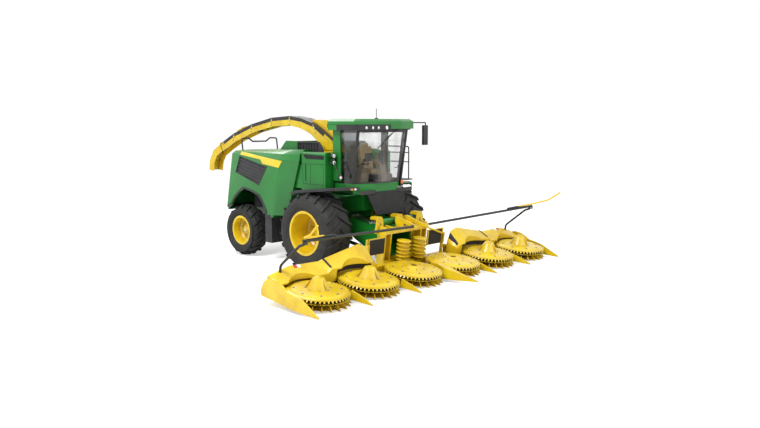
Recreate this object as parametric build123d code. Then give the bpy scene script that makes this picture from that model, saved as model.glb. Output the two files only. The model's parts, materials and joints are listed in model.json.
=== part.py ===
from build123d import *
import math
import os

os.makedirs("parts", exist_ok=True)

# All sizes are millimetres. X runs forward from the front axle, Y to the left, Z up from the
# ground. FRAME_X shifts each node on export, so that the machine is centred on its own box.
FRAME_X = 1275.0

# Wheels
FRONT_RADIUS = 1010.0
FRONT_WIDTH = 880.0
FRONT_TRACK_Y = 1400.0
FRONT_RIM_RADIUS = 545.0
FRONT_LUGS = 18
REAR_X = -3210.0
REAR_RADIUS = 725.0
REAR_WIDTH = 540.0
REAR_TRACK_Y = 1175.0
REAR_RIM_RADIUS = 395.0
REAR_LUGS = 16
HUB_GAP = 5.0
HUB_BORE = 60.0
KINGPIN_Y = 830.0
KINGPIN_RADIUS = 30.0
PIN_PLAY = 0.05
STUB_RADIUS = HUB_BORE - PIN_PLAY

# Frame rails
RAIL_LOW_Z = 1080.0
RAIL_TOP_Z = 1290.0
RAIL_HALF = 400.0
RAIL_WIDE = 100.0

# Body
BODY_HALF = 1500.0
BODY_TAIL_HALF = 1350.0
BODY_TAIL_X = -4290.0
BODY_LOW_Z = 1300.0
BODY_SIDE_TOP_Z = 2770.0
BODY_SIDE_RISE = 130.0
HOOD_TOP_Z = 3060.0
HOOD_DROP = 95.0
CREASE_ROUND = 120.0
TAIL_ROUND = 200.0
SKIN = 35.0
DECK_TOP_Z = 3270.0
DECK_HALF = 850.0
DECK_WALL = 60.0
MID_HALF = 1200.0
MID_TOP_Z = 2730.0
RIDGE_TOP_Z = 3010.0
RIDGE_WIDE = 200.0
FENDER_HALF = 1600.0
LIP_THICK = 14.0

# Cab
CAB_HALF = 900.0
CAB_REAR_X = 200.0
CAB_FRONT_X = 1150.0
CAB_FLOOR_LOW_Z = 1990.0
CAB_SILL_Z = 2240.0
CAB_HEAD_Z = 3630.0
ROOF_TOP_Z = 3850.0
ROOF_HALF = 1090.0
GLASS = 8.0
DOOR_THICK = 45.0
DOOR_GAP = 6.0
DOOR_HINGE = (323.0, 920.0)
DOOR_PIN_RADIUS = 8.0
CAB_MOUNT_Z = 1980.0
REAR_VIEW_HALF = 800.0

# Spout
SLEW_X = -750.0
SLEW_Z = 3000.0
TURRET_RADIUS = 400.0
TURRET_BORE = 330.0
SPOUT_HINGE_X = -980.0
SPOUT_HINGE_Z = 3065.0
SPOUT_PIN_RADIUS = 25.0
SLEW_GAP = 0.3
SPOUT_EYE_PLAY = 4.8
ROD_GAP = 0.2
FLAP_HINGE_X = -5937.0
FLAP_HINGE_Z = 3106.0
FLAP_PIN_RADIUS = 12.0
SPOUT_FOOT = (-330.0, 3060.0)
SPOUT_EYE = (-830.0, 3780.0)
SPOUT_WALL = 22.0

# Feeder and header
FEEDER_PIVOT_X = 250.0
FEEDER_PIVOT_Z = 1150.0
FEEDER_PIN_RADIUS = 40.0
LIFT_FOOT = (200.0, 760.0)
LIFT_EYE = (1250.0, 600.0)
LIFT_Y = 640.0
LIFT_PIN_RADIUS = 20.0
LIFT_BORE = 30.0
LIFT_EYE_PLAY = 3.6
HEADER_X = 2730.0
HEADER_Z = 345.0
HEADER_TILT = 7.1
ROTOR_PITCH = 1500.0
ROTOR_CLEAR = 60.0
TOOTH_DEEP = 42.0
TEETH = 48
TOOTH_TIP_RADIUS = ROTOR_PITCH / 2 - ROTOR_CLEAR
WING_LINE_Y = ROTOR_PITCH
HEADER_HALF = 3 * ROTOR_PITCH
WING_GAP = 8.0
GUARDS = 9
GUARD_TURN = 16.5
FOLD_Z = 60.0
FOLD_PIN_RADIUS = 18.0
BAR_HINGE = (2260.0, -231.0, 1250.0)
BAR_PIN_RADIUS = 14.0
DRUM_X = -760.0
DRUM_Y = 300.0
DRUM_RADIUS = 180.0
DRUM_RINGS = 5
DRUM_SHAFT_RADIUS = 40.0
BAR_RADIUS = 32.0


def block(x, y, z):
    """Box from (low, high) pairs."""
    size = Box(x[1] - x[0], y[1] - y[0], z[1] - z[0])
    return Pos((x[0] + x[1]) / 2, (y[0] + y[1]) / 2, (z[0] + z[1]) / 2) * size


def slab_xz(points, y0, y1):
    """Side outline (x, z), filled from y0 to y1."""
    face = make_face(Polyline(*[(x, y0, z) for x, z in points], close=True))
    return extrude(face, amount=y1 - y0, dir=(0, 1, 0))


def slab_xy(points, z0, z1):
    """Plan outline (x, y), filled from z0 to z1."""
    face = make_face(Polyline(*[(x, y, z0) for x, y in points], close=True))
    return extrude(face, amount=z1 - z0, dir=(0, 0, 1))


def slab_yz(points, x0, x1):
    """Front outline (y, z), filled from x0 to x1."""
    face = make_face(Polyline(*[(x0, y, z) for y, z in points], close=True))
    return extrude(face, amount=x1 - x0, dir=(1, 0, 0))


def rod(start, end, radius):
    """Round bar between two points."""
    along = Vector(*end) - Vector(*start)
    bar = Cylinder(radius, along.length, align=(Align.CENTER, Align.CENTER, Align.MIN))
    return Plane(origin=start, z_dir=along) * bar


def tube(points, radius, bend):
    """Round bar along filleted straight lines."""
    path = FilletPolyline(*points, radius=bend)
    return sweep(Plane(origin=path @ 0, z_dir=path % 0) * Circle(radius), path=path)


def other(shape):
    """Mirror image on the other side of the machine."""
    return mirror(shape, about=Plane.XZ)


def joined(*shapes):
    first = shapes[0]
    return first.fuse(*shapes[1:]) if len(shapes) > 1 else first


def node(name, shape):
    solids = []
    for item in shape if isinstance(shape, (list, tuple)) else [shape]:
        solids.extend(item.solids())
    placed = [solid.moved(Location((FRAME_X, 0, 0))) for solid in solids]
    export_step(placed[0] if len(placed) == 1 else Compound(placed), f"parts/{name}.step")


# Wheels


def tyre(radius, width, bore, lugs, lug_deep, lug_wide):
    """Tyre on the Y axis, its chevron lugs pointing forward at the top."""
    half = width / 2
    low = radius - lug_deep
    carcass = [(-half + 90, bore), (half - 90, bore), (half - 10, bore + 110), (half, bore + 220),
               (half - 30, low - 90), (half - 130, low - 12), (0, low),
               (-half + 130, low - 12), (-half + 30, low - 90), (-half, bore + 220),
               (-half + 10, bore + 110)]
    envelope = [(-half + 90, bore), (half - 90, bore), (half - 10, bore + 110), (half + 2, bore + 220),
                (half - 4, low - 80), (half - 70, radius - 32), (half - 130, radius - 14),
                (0, radius), (-half + 130, radius - 14), (-half + 70, radius - 32),
                (-half + 4, low - 80), (-half - 2, bore + 220), (-half + 10, bore + 110)]
    rings = []
    for outline in (carcass, envelope):
        face = make_face(Polyline(*[(0, y, r) for y, r in outline], close=True))
        rings.append(revolve(face, axis=Axis.Y))
    lean = half * 0.62
    print_up = [(-12, 0), (half * 0.5, lean * 0.62), (half + 20, lean), (half + 20, lean + lug_wide),
                (half * 0.5, lean * 0.62 + lug_wide), (-12, lug_wide)]
    base = radius * 0.86
    right = slab_xy([(s, y) for y, s in print_up], base, radius + 40)
    left = other(right)
    bars = []
    for i in range(lugs):
        turn = 360.0 / lugs
        bars.append(Rot(0, turn * i, 0) * right)
        bars.append(Rot(0, turn * (i + 0.5), 0) * left)
    tread = Compound(children=[s for b in bars for s in b.solids()])
    shaped = rings[1].intersect(tread)
    return rings[0].fuse(*shaped.solids())


def rim(radius, half, dish, hub_radius):
    """Deep dished rim on the Y axis, its open side towards -Y."""
    outline = [(-half, radius - 40), (-half, radius + 22), (-half + 14, radius + 22),
               (-half + 14, radius), (half - 14, radius), (half - 14, radius + 22),
               (half, radius + 22), (half, radius - 40), (dish + 40, radius - 60),
               (dish + 40, hub_radius), (dish + 40, HUB_BORE), (dish - 60, HUB_BORE),
               (dish - 60, hub_radius - 30),
               (dish, hub_radius), (dish + 8, radius - 110), (dish - 40, radius - 62),
               (-half + 30, radius - 46)]
    face = make_face(Polyline(*[(0, y, r) for y, r in outline], close=True))
    return revolve(face, axis=Axis.Y)


front_tyre = tyre(FRONT_RADIUS, FRONT_WIDTH, FRONT_RIM_RADIUS, FRONT_LUGS, 52, 62)
rear_tyre = tyre(REAR_RADIUS, REAR_WIDTH, REAR_RIM_RADIUS, REAR_LUGS, 42, 50)
front_rim = rim(FRONT_RIM_RADIUS, 382, 200, 230)
rear_rim = rim(REAR_RIM_RADIUS, 212, 40, 170)
front_at = Pos(0, -FRONT_TRACK_Y, FRONT_RADIUS)
rear_at = Pos(REAR_X, -REAR_TRACK_Y, REAR_RADIUS)
node("front_tyre_right", front_at * front_tyre)
node("front_tyre_left", other(front_at * front_tyre))
node("front_rim_right", front_at * front_rim)
node("front_rim_left", other(front_at * front_rim))
node("rear_tyre_right", rear_at * rear_tyre)
node("rear_tyre_left", other(rear_at * rear_tyre))
node("rear_rim_right", rear_at * rear_rim)
node("rear_rim_left", other(rear_at * rear_rim))

# Front axle: a housing with a final drive that carries each rim on a stub.
front_stub_y = FRONT_TRACK_Y - 240
stub = rod((0, -front_stub_y + 60, FRONT_RADIUS), (0, -front_stub_y - 120, FRONT_RADIUS), STUB_RADIUS)
drive = joined(rod((0, -700, FRONT_RADIUS), (0, -front_stub_y + HUB_GAP, FRONT_RADIUS), 230), stub)
front_beam = block((-150, 150), (-720, 720), (FRONT_RADIUS - 140, RAIL_LOW_Z))
lift_lug = joined(block((-150, 224), (-690, -670), (700, 871)), block((-150, 224), (-610, -590), (700, 871)))
lift_hole = rod((LIFT_FOOT[0], -700, LIFT_FOOT[1]), (LIFT_FOOT[0], -580, LIFT_FOOT[1]),
                LIFT_PIN_RADIUS + PIN_PLAY)
lift_lug = lift_lug - lift_hole
node("front_axle", joined(front_beam, drive, other(drive), lift_lug, other(lift_lug)))

# Rear axle: a beam with a fork at each end, and a knuckle that turns on the kingpin.
beam = joined(block((REAR_X - 90, REAR_X + 90), (-690, 690), (REAR_RADIUS - 90, REAR_RADIUS + 110)),
              block((REAR_X - 150, REAR_X + 150), (-160, 160), (REAR_RADIUS - 60, REAR_RADIUS + 300)))
fork = joined(block((REAR_X - 90, REAR_X + 90), (-KINGPIN_Y - 90, -680),
                    (REAR_RADIUS + 125, REAR_RADIUS + 195)),
              block((REAR_X - 90, REAR_X + 90), (-KINGPIN_Y - 90, -680),
                    (REAR_RADIUS - 195, REAR_RADIUS - 125)),
              block((REAR_X - 90, REAR_X + 90), (-700, -640), (REAR_RADIUS - 195, REAR_RADIUS + 195)))
kingpin_hole = Pos(REAR_X, -KINGPIN_Y, REAR_RADIUS) * Cylinder(KINGPIN_RADIUS + PIN_PLAY, 500)
fork = fork - kingpin_hole
node("rear_axle", joined(beam, fork, other(fork)))
knuckle = joined(Pos(REAR_X, -KINGPIN_Y, REAR_RADIUS) * Cylinder(75, 240),
                 rod((REAR_X, -KINGPIN_Y, REAR_RADIUS), (REAR_X, -REAR_TRACK_Y - 30, REAR_RADIUS),
                     STUB_RADIUS),
                 rod((REAR_X, -KINGPIN_Y - 40, REAR_RADIUS), (REAR_X, -REAR_TRACK_Y + 85, REAR_RADIUS), 110),
                 Pos(REAR_X, -KINGPIN_Y, REAR_RADIUS) * Cylinder(KINGPIN_RADIUS, 380))
node("knuckle_right", knuckle)
node("knuckle_left", other(knuckle))

# Chassis

rail = block((-4000, 60), (-RAIL_HALF, -RAIL_HALF + RAIL_WIDE), (RAIL_LOW_Z, RAIL_TOP_Z))
rear_pillar = block((REAR_X - 150, REAR_X + 150), (-RAIL_HALF, RAIL_HALF), (REAR_RADIUS + 300, RAIL_TOP_Z))
cross = [block((x - 50, x + 50), (-RAIL_HALF, RAIL_HALF), (1110, 1260)) for x in (-3950, -2200, -1200)]
front_cross = block((-140, 60), (-640, 640), (1160, 1290))
pivot_plate = joined(block((-140, 330), (-600, -560), (RAIL_LOW_Z, 1240)),
                     block((-140, 60), (-600, -380), (1100, 1290)))
pivot_hole = rod((FEEDER_PIVOT_X, -620, FEEDER_PIVOT_Z), (FEEDER_PIVOT_X, -540, FEEDER_PIVOT_Z),
                 FEEDER_PIN_RADIUS + PIN_PLAY)
pivot_plate = pivot_plate - pivot_hole
node("engine_block", block((-3700, -2000), (-520, 520), (RAIL_TOP_Z, 2450)))
side_box = joined(block((-2160, -1870), (-1330, -760), (500, 1340)),
                  block((-2080, -1950), (-780, -RAIL_HALF), (1110, 1230)))
node("side_boxes", [side_box, other(side_box)])
hitch_r = 19.0
hitch = joined(block((-4420, -4000), (-90, -30), (720, 1080)), block((-4420, -4000), (30, 90), (720, 1080)),
               block((-4560, -4400), (-110, 110), (860, 900)),
               block((-4560, -4400), (-110, 110), (720, 760)),
               block((-4440, -4400), (-110, 110), (720, 900)))
riggers = [
    block((-1700, -1600), (-BODY_HALF + 10, BODY_HALF - 10), (1240, BODY_LOW_Z)),
    block((-4080, -4000), (-BODY_TAIL_HALF + 140, BODY_TAIL_HALF - 140), (1240, BODY_LOW_Z)),
]
hitch = joined(hitch, *riggers, block((-4000, -3900), (-300, 300), (900, 1120)),
               block((-4010, -3900), (-420, 420), (1080, 1120)))
hitch = hitch - Pos(-4500, 0, 800) * Cylinder(hitch_r, 400)
node("chassis_frame", joined(rail, other(rail), rear_pillar, front_cross, hitch, *cross,
                              pivot_plate, other(pivot_plate)))

# Rear body


def plan(z, rise, half, tail_half, tail_x, front_x, front_half, crease_x, inset):
    """Plan outline of the rear body, inset by a wall: z at its front, and higher by rise at its tail."""
    side = half - inset
    back = tail_half - inset
    outline = [(front_x - inset, -front_half + inset), (crease_x - inset * 0.4, -side),
               (tail_x + 330, -back), (tail_x + 60 + inset * 0.6, -back + 300), (tail_x + inset, 0),
               (tail_x + 60 + inset * 0.6, back - 300), (tail_x + 330, back),
               (crease_x - inset * 0.4, side), (front_x - inset, front_half - inset)]
    slope = rise / (front_x - BODY_TAIL_X)
    face = make_face(Polyline(*[(x, y, z + slope * (front_x - x)) for x, y in outline], close=True))
    creases = [v for v in face.vertices() if abs(v.X - outline[1][0]) < 1]
    face = fillet(creases, CREASE_ROUND - inset)
    corners = [v for v in face.vertices() if v.X < tail_x + 400 and abs(v.Y) > 1]
    return fillet(corners, TAIL_ROUND - inset)


def shell_at(inset, drop):
    """Rear body solid: near upright to the side's top, then leaning in over a shoulder to the hood."""
    tail = BODY_TAIL_HALF
    sections = [
        plan(BODY_LOW_Z - drop, 0, BODY_HALF, tail, BODY_TAIL_X, -1290, 1250, -1590, inset),
        plan(BODY_SIDE_TOP_Z, BODY_SIDE_RISE, BODY_HALF, tail - 130, BODY_TAIL_X + 150, -780, 1250, -1250,
             inset),
        plan(BODY_SIDE_TOP_Z + 170, BODY_SIDE_RISE - 110, BODY_HALF - 70, tail - 200, BODY_TAIL_X + 210,
             -780, 1220,
             -1220, inset),
        plan(HOOD_TOP_Z - inset, -HOOD_DROP, BODY_HALF - 320, tail - 420, BODY_TAIL_X + 420, -780, 1060,
             -1160, inset),
    ]
    solids = [loft([low, high], ruled=True) for low, high in zip(sections, sections[1:])]
    return joined(*solids)


def above_sides():
    """Everything over the sloping line where the sides end and the hood begins."""
    slope = BODY_SIDE_RISE / (-780 - BODY_TAIL_X)
    edge = [(x, BODY_SIDE_TOP_Z + slope * (-780 - x)) for x in (-5000, 0)]
    return slab_xz([*edge, (0, 4000), (-5000, 4000)], -1700, 1700)


body_solid = shell_at(0, 0)
body_core = shell_at(SKIN, 20)
shell = body_solid - body_core - block((-1330, -700), (-1100, 1100), (1200, 2700))
arch_points = [(-4150, 1250), (-4060, 1320), (-3820, 1345), (-3670, 1430), (-3490, 1650), (-3240, 1840),
               (-3060, 1920), (-2630, 1860), (-2300, 1770), (-2140, 1640), (-1940, 1380), (-1900, 1250)]
arch_cut = slab_xz(arch_points, -1700, 1700)
shell = shell - arch_cut
grille_points = [(-3330, 2800), (-2250, 2620), (-1920, 2580), (-2310, 2100), (-3500, 2370)]
grille_cut = slab_xz(grille_points, -1700, 1700)
shell = shell - grille_cut
hood_zone = above_sides()
tail_zone = block((-5000, BODY_TAIL_X + 260), (-1150, 1150), (1000, 4000))
hood = shell & hood_zone
walls = shell - hood_zone
tail = walls & tail_zone
base_hole = Pos(SLEW_X, 0, 2850) * Cylinder(TURRET_RADIUS + 110, 600)
node("body_sides", walls - tail_zone - base_hole)
TAIL_LEAN = 150 / (BODY_SIDE_TOP_Z - BODY_LOW_Z)
TAIL_GRILLE = (1750, 2600)


def tail_at(z):
    """Rear face of the leaning tail panel beside its grille."""
    return BODY_TAIL_X + 50 + TAIL_LEAN * (z - BODY_LOW_Z)


tail_window = block((-5000, -4000), (-800, 800), TAIL_GRILLE)
node("tail_panel", tail - tail_window)
tail_slats = [block((tail_at(z), tail_at(z) + 40), (-800, 800), (z, z + 30)) for z in range(1780, 2560, 90)]
tail_back = slab_xz([(tail_at(z) + d, z) for z, d in zip((*TAIL_GRILLE, *reversed(TAIL_GRILLE)),
                                                         (28, 28, 38, 38))],
                    -800, 800)
tail_grille = joined(tail_back, *tail_slats)

slats = []
grille_zone = slab_xz(grille_points, -1700, 1700)
core_shell = (shell_at(6, 0) - shell_at(SKIN - 4, 20)) & grille_zone
back_sheet = (shell_at(24, 0) - shell_at(SKIN - 2, 20)) & grille_zone
for i in range(9):
    z = 2060 + i * 95
    slats.append(slab_xz([(-3600, z + 130), (-1800, z - 170), (-1800, z - 130), (-3600, z + 170)], -1700,
                         1700))
slat_parts = core_shell.intersect(Compound(children=[s for b in slats for s in b.solids()]))
side_grilles = joined(back_sheet, *slat_parts.solids())

lip_out = slab_xz([(x + (40 if x > -2900 else -40), z + 45) for x, z in arch_points], -1700, 1700)
lip_zone = (lip_out - arch_cut) & block((-3900, -1850), (-1700, 1700), (1320, 2100))
lip_shell = (shell_at(-14, 0) - shell_at(0, 0)) & lip_zone

# Middle body and fenders

MID_FRONT_X = CAB_REAR_X - 30
mid_outline = [(-740, RAIL_TOP_Z), (-740, MID_TOP_Z), (MID_FRONT_X, MID_TOP_Z), (MID_FRONT_X, CAB_MOUNT_Z),
               (880, CAB_MOUNT_Z), (880, 1560), (200, 1480), (40, RAIL_TOP_Z)]
mid = slab_xz(mid_outline, -MID_HALF, MID_HALF)
mid_low = block((-741, 881), (-MID_HALF - 1, -560), (1200, 1960))
wheel_room = rod((0, -3000, FRONT_RADIUS), (0, -900, FRONT_RADIUS), FRONT_RADIUS + 20)
mid = mid - mid_low - other(mid_low) - wheel_room - other(wheel_room)

# Ridges along both sides of the middle body, each with a louvre under its edge and a slot below.
ridge = slab_yz([(-MID_HALF, MID_TOP_Z), (-MID_HALF, RIDGE_TOP_Z - 40), (-MID_HALF + 50, RIDGE_TOP_Z),
                 (-MID_HALF + RIDGE_WIDE, RIDGE_TOP_Z), (-MID_HALF + RIDGE_WIDE, MID_TOP_Z)], -740,
                 MID_FRONT_X)
LOUVRE_DEEP = 24.0
louvre_points = [(-690, RIDGE_TOP_Z - 60), (130, RIDGE_TOP_Z - 80), (130, RIDGE_TOP_Z - 180),
                 (-560, RIDGE_TOP_Z - 180)]
louvre_room = slab_xz(louvre_points, -MID_HALF - 1, -MID_HALF + LOUVRE_DEEP)
louvre_slats = [slab_xz([(-700, z), (140, z - 12), (140, z - 4), (-700, z + 8)], -MID_HALF + 2,
                        -MID_HALF + LOUVRE_DEEP)
                for z in (RIDGE_TOP_Z - 158, RIDGE_TOP_Z - 134, RIDGE_TOP_Z - 110, RIDGE_TOP_Z - 86)]
louvre = joined(slab_xz(louvre_points, -MID_HALF + LOUVRE_DEEP - 6, -MID_HALF + LOUVRE_DEEP),
                *[slat & louvre_room for slat in louvre_slats])
door_slot = block((-600, -545), (-MID_HALF - 1, -MID_HALF + 18), (2260, 2690))
cuts = joined(louvre_room, door_slot)
mid = joined(mid, ridge, other(ridge)) - cuts - other(cuts)

# Deck over the engine: a box behind the spout, open on top over a screen, and side screens beside the spout.
DECK_REAR_X = -1960
DECK_STEP_X = -1330
DECK_FRONT_X = -460
deck_side = [(DECK_REAR_X - 110, HOOD_TOP_Z - 60), (DECK_REAR_X, 3120), (DECK_REAR_X + 160, DECK_TOP_Z),
             (DECK_STEP_X, DECK_TOP_Z), (DECK_STEP_X, HOOD_TOP_Z - 40)]
deck = slab_xz(deck_side, -DECK_HALF, DECK_HALF)
deck = deck - block((DECK_REAR_X + 130, DECK_STEP_X - DECK_WALL),
                    (-DECK_HALF + DECK_WALL, DECK_HALF - DECK_WALL),
                    (DECK_TOP_Z - 90, DECK_TOP_Z + 1))
node("hood", joined(hood - base_hole, deck))
deck_mesh = block((DECK_REAR_X + 130, DECK_STEP_X - DECK_WALL),
                  (-DECK_HALF + DECK_WALL, DECK_HALF - DECK_WALL),
                  (DECK_TOP_Z - 90, DECK_TOP_Z - 60))
screen_outline = [(DECK_STEP_X, MID_TOP_Z), (DECK_STEP_X, DECK_TOP_Z - 8), (DECK_FRONT_X, DECK_TOP_Z - 8),
                  (DECK_FRONT_X + 150, DECK_TOP_Z - 170), (DECK_FRONT_X + 150, MID_TOP_Z)]
screen_hole = [(DECK_STEP_X + 40, MID_TOP_Z - 1), (DECK_STEP_X + 40, DECK_TOP_Z - 48),
               (DECK_FRONT_X - 20, DECK_TOP_Z - 48),
               (DECK_FRONT_X + 110, DECK_TOP_Z - 185), (DECK_FRONT_X + 110, MID_TOP_Z - 1)]
screen = slab_xz(screen_outline, -DECK_HALF, -DECK_HALF + 40) - slab_xz(screen_hole, -DECK_HALF - 1,
                                                                        -DECK_HALF + 41)
screen_bars = [block((x, x + 16), (-DECK_HALF + 8, -DECK_HALF + 32), (MID_TOP_Z, DECK_TOP_Z - 48))
               for x in range(-1230, -480, 110)]
screen_sheet = slab_xz(screen_hole, -DECK_HALF + 32, -DECK_HALF + 40)
screen = joined(screen, screen_sheet, *screen_bars)
screen = screen - (body_solid - base_hole) - block((-741, MID_FRONT_X), (-1300, 1300), (2000, MID_TOP_Z))
node("grilles", [tail_grille, side_grilles, louvre, other(louvre), deck_mesh, *screen.solids(),
                 *other(screen).solids()])

# Fender over the front wheel, cut back towards the cab in plan, with a dark lip round its edge.
fender_side = [(-700, 1960), (-500, 2030), (600, 2150), (1130, 2190), (1330, 2130),
               (1320, 2085), (1130, 2145), (600, 2105), (-480, 1990), (-700, 1915)]
fender_plan = [(-700, -960), (-700, -FENDER_HALF), (480, -FENDER_HALF), (1150, -960)]
fender_zone = slab_xy(fender_plan, 1800, 2300)
fender = slab_xz(fender_side, -FENDER_HALF, -960) & fender_zone
lip_plan = [(-700, -FENDER_HALF), (480, -FENDER_HALF), (1150, -960), (1150 + LIP_THICK, -972),
            (486, -FENDER_HALF - LIP_THICK), (-700, -FENDER_HALF - LIP_THICK)]
lip_side = [(-700, 1985), (-500, 2055), (600, 2165), (1130, 2195), (1400, 2120), (1400, 2030), (1130, 2110),
            (600, 2095), (-480, 1985), (-700, 1905)]
fender_lip = slab_xy(lip_plan, 1800, 2300) & slab_xz(lip_side, -1700, -900)
fascia = slab_xy([(1150, -400), (1164, -400), (1200, -700), (1164, -972), (1150, -960), (1186, -700)], 1992,
                 2090)
node("arch_lips", [*[s for s in lip_shell.solids() if s.volume > 1000], *fender_lip.solids(),
                   *other(fender_lip).solids(), fascia, other(fascia)])
node("mid_body", joined(mid, fender, other(fender)))

# Cab

floor_plan = [(CAB_REAR_X, -CAB_HALF), (CAB_FRONT_X - 290, -CAB_HALF), (CAB_FRONT_X, -420),
              (CAB_FRONT_X, 420), (CAB_FRONT_X - 290, CAB_HALF), (CAB_REAR_X, CAB_HALF)]
floor_pan = slab_xy(floor_plan, CAB_FLOOR_LOW_Z, CAB_SILL_Z)
well = slab_xy([(CAB_REAR_X + 60, -CAB_HALF + 60), (CAB_FRONT_X - 310, -CAB_HALF + 60),
                (CAB_FRONT_X - 60, -380), (CAB_FRONT_X - 60, 380), (CAB_FRONT_X - 310, CAB_HALF - 60),
                (CAB_REAR_X + 60, CAB_HALF - 60)], CAB_FLOOR_LOW_Z + 60, CAB_SILL_Z + 1)
cab_mounts = [Pos(x, y, (CAB_MOUNT_Z + CAB_FLOOR_LOW_Z) / 2) * Cylinder(60, CAB_FLOOR_LOW_Z - CAB_MOUNT_Z)
              for x in (280, 800) for y in (-700, 700)]
node("cab_floor", joined(floor_pan - well, *cab_mounts))


def post(low, high, size_x, size_y):
    """Straight pillar between the sill and the head, square in plan."""
    faces = []
    for x, y, z in (low, high):
        faces.append(Plane(origin=(x, y, z)) * Rectangle(size_x, size_y))
    return loft(faces, ruled=True)


pillar_table = [  # low x, low y, high x, high y, size x, size y
    (820, -875, 1040, -875, 60, 50),
    (820, 875, 1040, 875, 90, 50),
    (CAB_REAR_X + 60, -875, CAB_REAR_X + 60, -875, 120, 50),
    (CAB_REAR_X + 60, 875, CAB_REAR_X + 60, 875, 120, 50),
]
pillars = [post((a, b, CAB_SILL_Z), (c, d, CAB_HEAD_Z), e, f) for a, b, c, d, e, f in pillar_table]
rear_wall = block((CAB_REAR_X, CAB_REAR_X + 40), (-850, 850), (CAB_SILL_Z, CAB_HEAD_Z))
rear_wall = rear_wall - block((CAB_REAR_X - 1, CAB_REAR_X + 41), (-REAR_VIEW_HALF, REAR_VIEW_HALF),
                              (2800, 3560))
head_plan = [(CAB_REAR_X, -CAB_HALF), (1085, -CAB_HALF), (CAB_FRONT_X + 70, -420),
             (CAB_FRONT_X + 70, 420), (1085, CAB_HALF), (CAB_REAR_X, CAB_HALF)]
head_ring = slab_xy(head_plan, CAB_HEAD_Z - 60, CAB_HEAD_Z)
head_hole = slab_xy([(CAB_REAR_X + 60, -CAB_HALF + 50), (1040, -CAB_HALF + 50), (CAB_FRONT_X + 20, -400),
                     (CAB_FRONT_X + 20, 400), (1040, CAB_HALF - 50), (CAB_REAR_X + 60, CAB_HALF - 50)],
                    CAB_HEAD_Z - 61, CAB_HEAD_Z + 1)


def door_hinge(z):
    """Fixed knuckle with its pin on the rear pillar, and the door's knuckle over that pin."""
    x, y = DOOR_HINGE
    pin = Pos(x, y, z + 30) * Cylinder(DOOR_PIN_RADIUS, 100)
    fixed = joined(Pos(x, y, z) * Cylinder(14, 40), pin,
                   block((x - 70, x - 8), (CAB_HALF, CAB_HALF + 8), (z - 20, z + 20)),
                   block((x - 22, x - 6), (CAB_HALF, y), (z - 20, z + 20)))
    loose = joined(Pos(x, y, z + 45) * Cylinder(14, 48),
                   block((x + 6, x + 70), (CAB_HALF + 2, CAB_HALF + 9), (z + 21, z + 69)),
                   block((x + 4, x + 14), (CAB_HALF + 2, y), (z + 21, z + 69)))
    return fixed, loose - Pos(x, y, z + 45) * Cylinder(DOOR_PIN_RADIUS + PIN_PLAY, 60)


door_hinges = [door_hinge(z) for z in (2440, 3300)]
node("cab_frame", joined(rear_wall, head_ring - head_hole, *pillars, *[fixed for fixed, _ in door_hinges]))

roof_plan = [(80, -ROOF_HALF + 60), (140, -ROOF_HALF), (1080, -ROOF_HALF), (1190, -ROOF_HALF + 100),
             (1290, -430), (1300, 0), (1290, 430), (1190, ROOF_HALF - 100), (1080, ROOF_HALF),
             (140, ROOF_HALF), (80, ROOF_HALF - 60)]
LIP_LOW_Z = 3715.0
BAND_LOW_Z = 3572.0
BAND_DEEP = 45.0


def roof_slab(inset, z0, z1):
    """Slice of the roof between two heights, its outline moved in."""
    face = make_face(Polyline(*[(x, y, z0) for x, y in roof_plan], close=True))
    face = offset(face, amount=-inset, kind=Kind.INTERSECTION) if inset else face
    return extrude(face, amount=z1 - z0, dir=(0, 0, 1))


# Under the roof's edge a dark band is let in along both sides and round the right front corner.
band_zone = block((0, 1400), (-1200, 1200), (3500, 3800)) - block((1000, 1401), (0, 1201), (3499, 3801))
band_zone = band_zone & block((140, 1400), (-1200, 1200), (3500, 3800))
roof_ring = (roof_slab(0, CAB_HEAD_Z, LIP_LOW_Z) - roof_slab(BAND_DEEP, CAB_HEAD_Z - 1,
                                                             LIP_LOW_Z + 1)) & band_zone
visor = roof_slab(0, BAND_LOW_Z + 30, CAB_HEAD_Z) - roof_slab(BAND_DEEP, BAND_LOW_Z, CAB_HEAD_Z + 1)
visor = visor & block((1000, 1400), (0, 1200), (3500, 3800))
roof_low = joined(roof_slab(0, CAB_HEAD_Z, ROOF_TOP_Z - 60) - roof_ring, visor)
roof_crown = loft([make_face(Polyline(*[(x, y, ROOF_TOP_Z - 60) for x, y in roof_plan], close=True)),
                   make_face(Polyline(*[(x * 0.93 + 30, y * 0.9, ROOF_TOP_Z) for x, y in roof_plan],
                                      close=True))], ruled=True)
antenna = joined(rod((800, 0, ROOF_TOP_Z - 20), (800, 0, ROOF_TOP_Z + 30), 45),
                 rod((800, 0, ROOF_TOP_Z + 20), (800, 0, 4110), 8))
corner_cover = block((185, 450), (-945, -CAB_HALF), (2300, CAB_HEAD_Z + 1))
node("cab_roof", joined(roof_low, roof_crown, antenna, corner_cover))
band = (roof_slab(12, BAND_LOW_Z, LIP_LOW_Z) - roof_slab(BAND_DEEP, BAND_LOW_Z - 1,
                                                         LIP_LOW_Z + 1)) & band_zone
lamp_table = [  # face x, y, radius
    (1226, -790, 40),
    (1262, -600, 40),
    (1290, -430, 40),
    (1297, -140, 52),
]
roof_lamps = [rod((x - 30, y, 3634), (x + 2, y, 3634), r) for x, y, r in lamp_table]
roof_band = joined(band, *roof_lamps)

# Glass fills the frames: a folded windscreen, the right side and the rear window.
screen_low = [(852, -845), (1140, -400), (1140, 400), (852, 845)]
screen_high = [(1072, -845), (1205, -400), (1205, 400), (1072, 845)]


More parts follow.
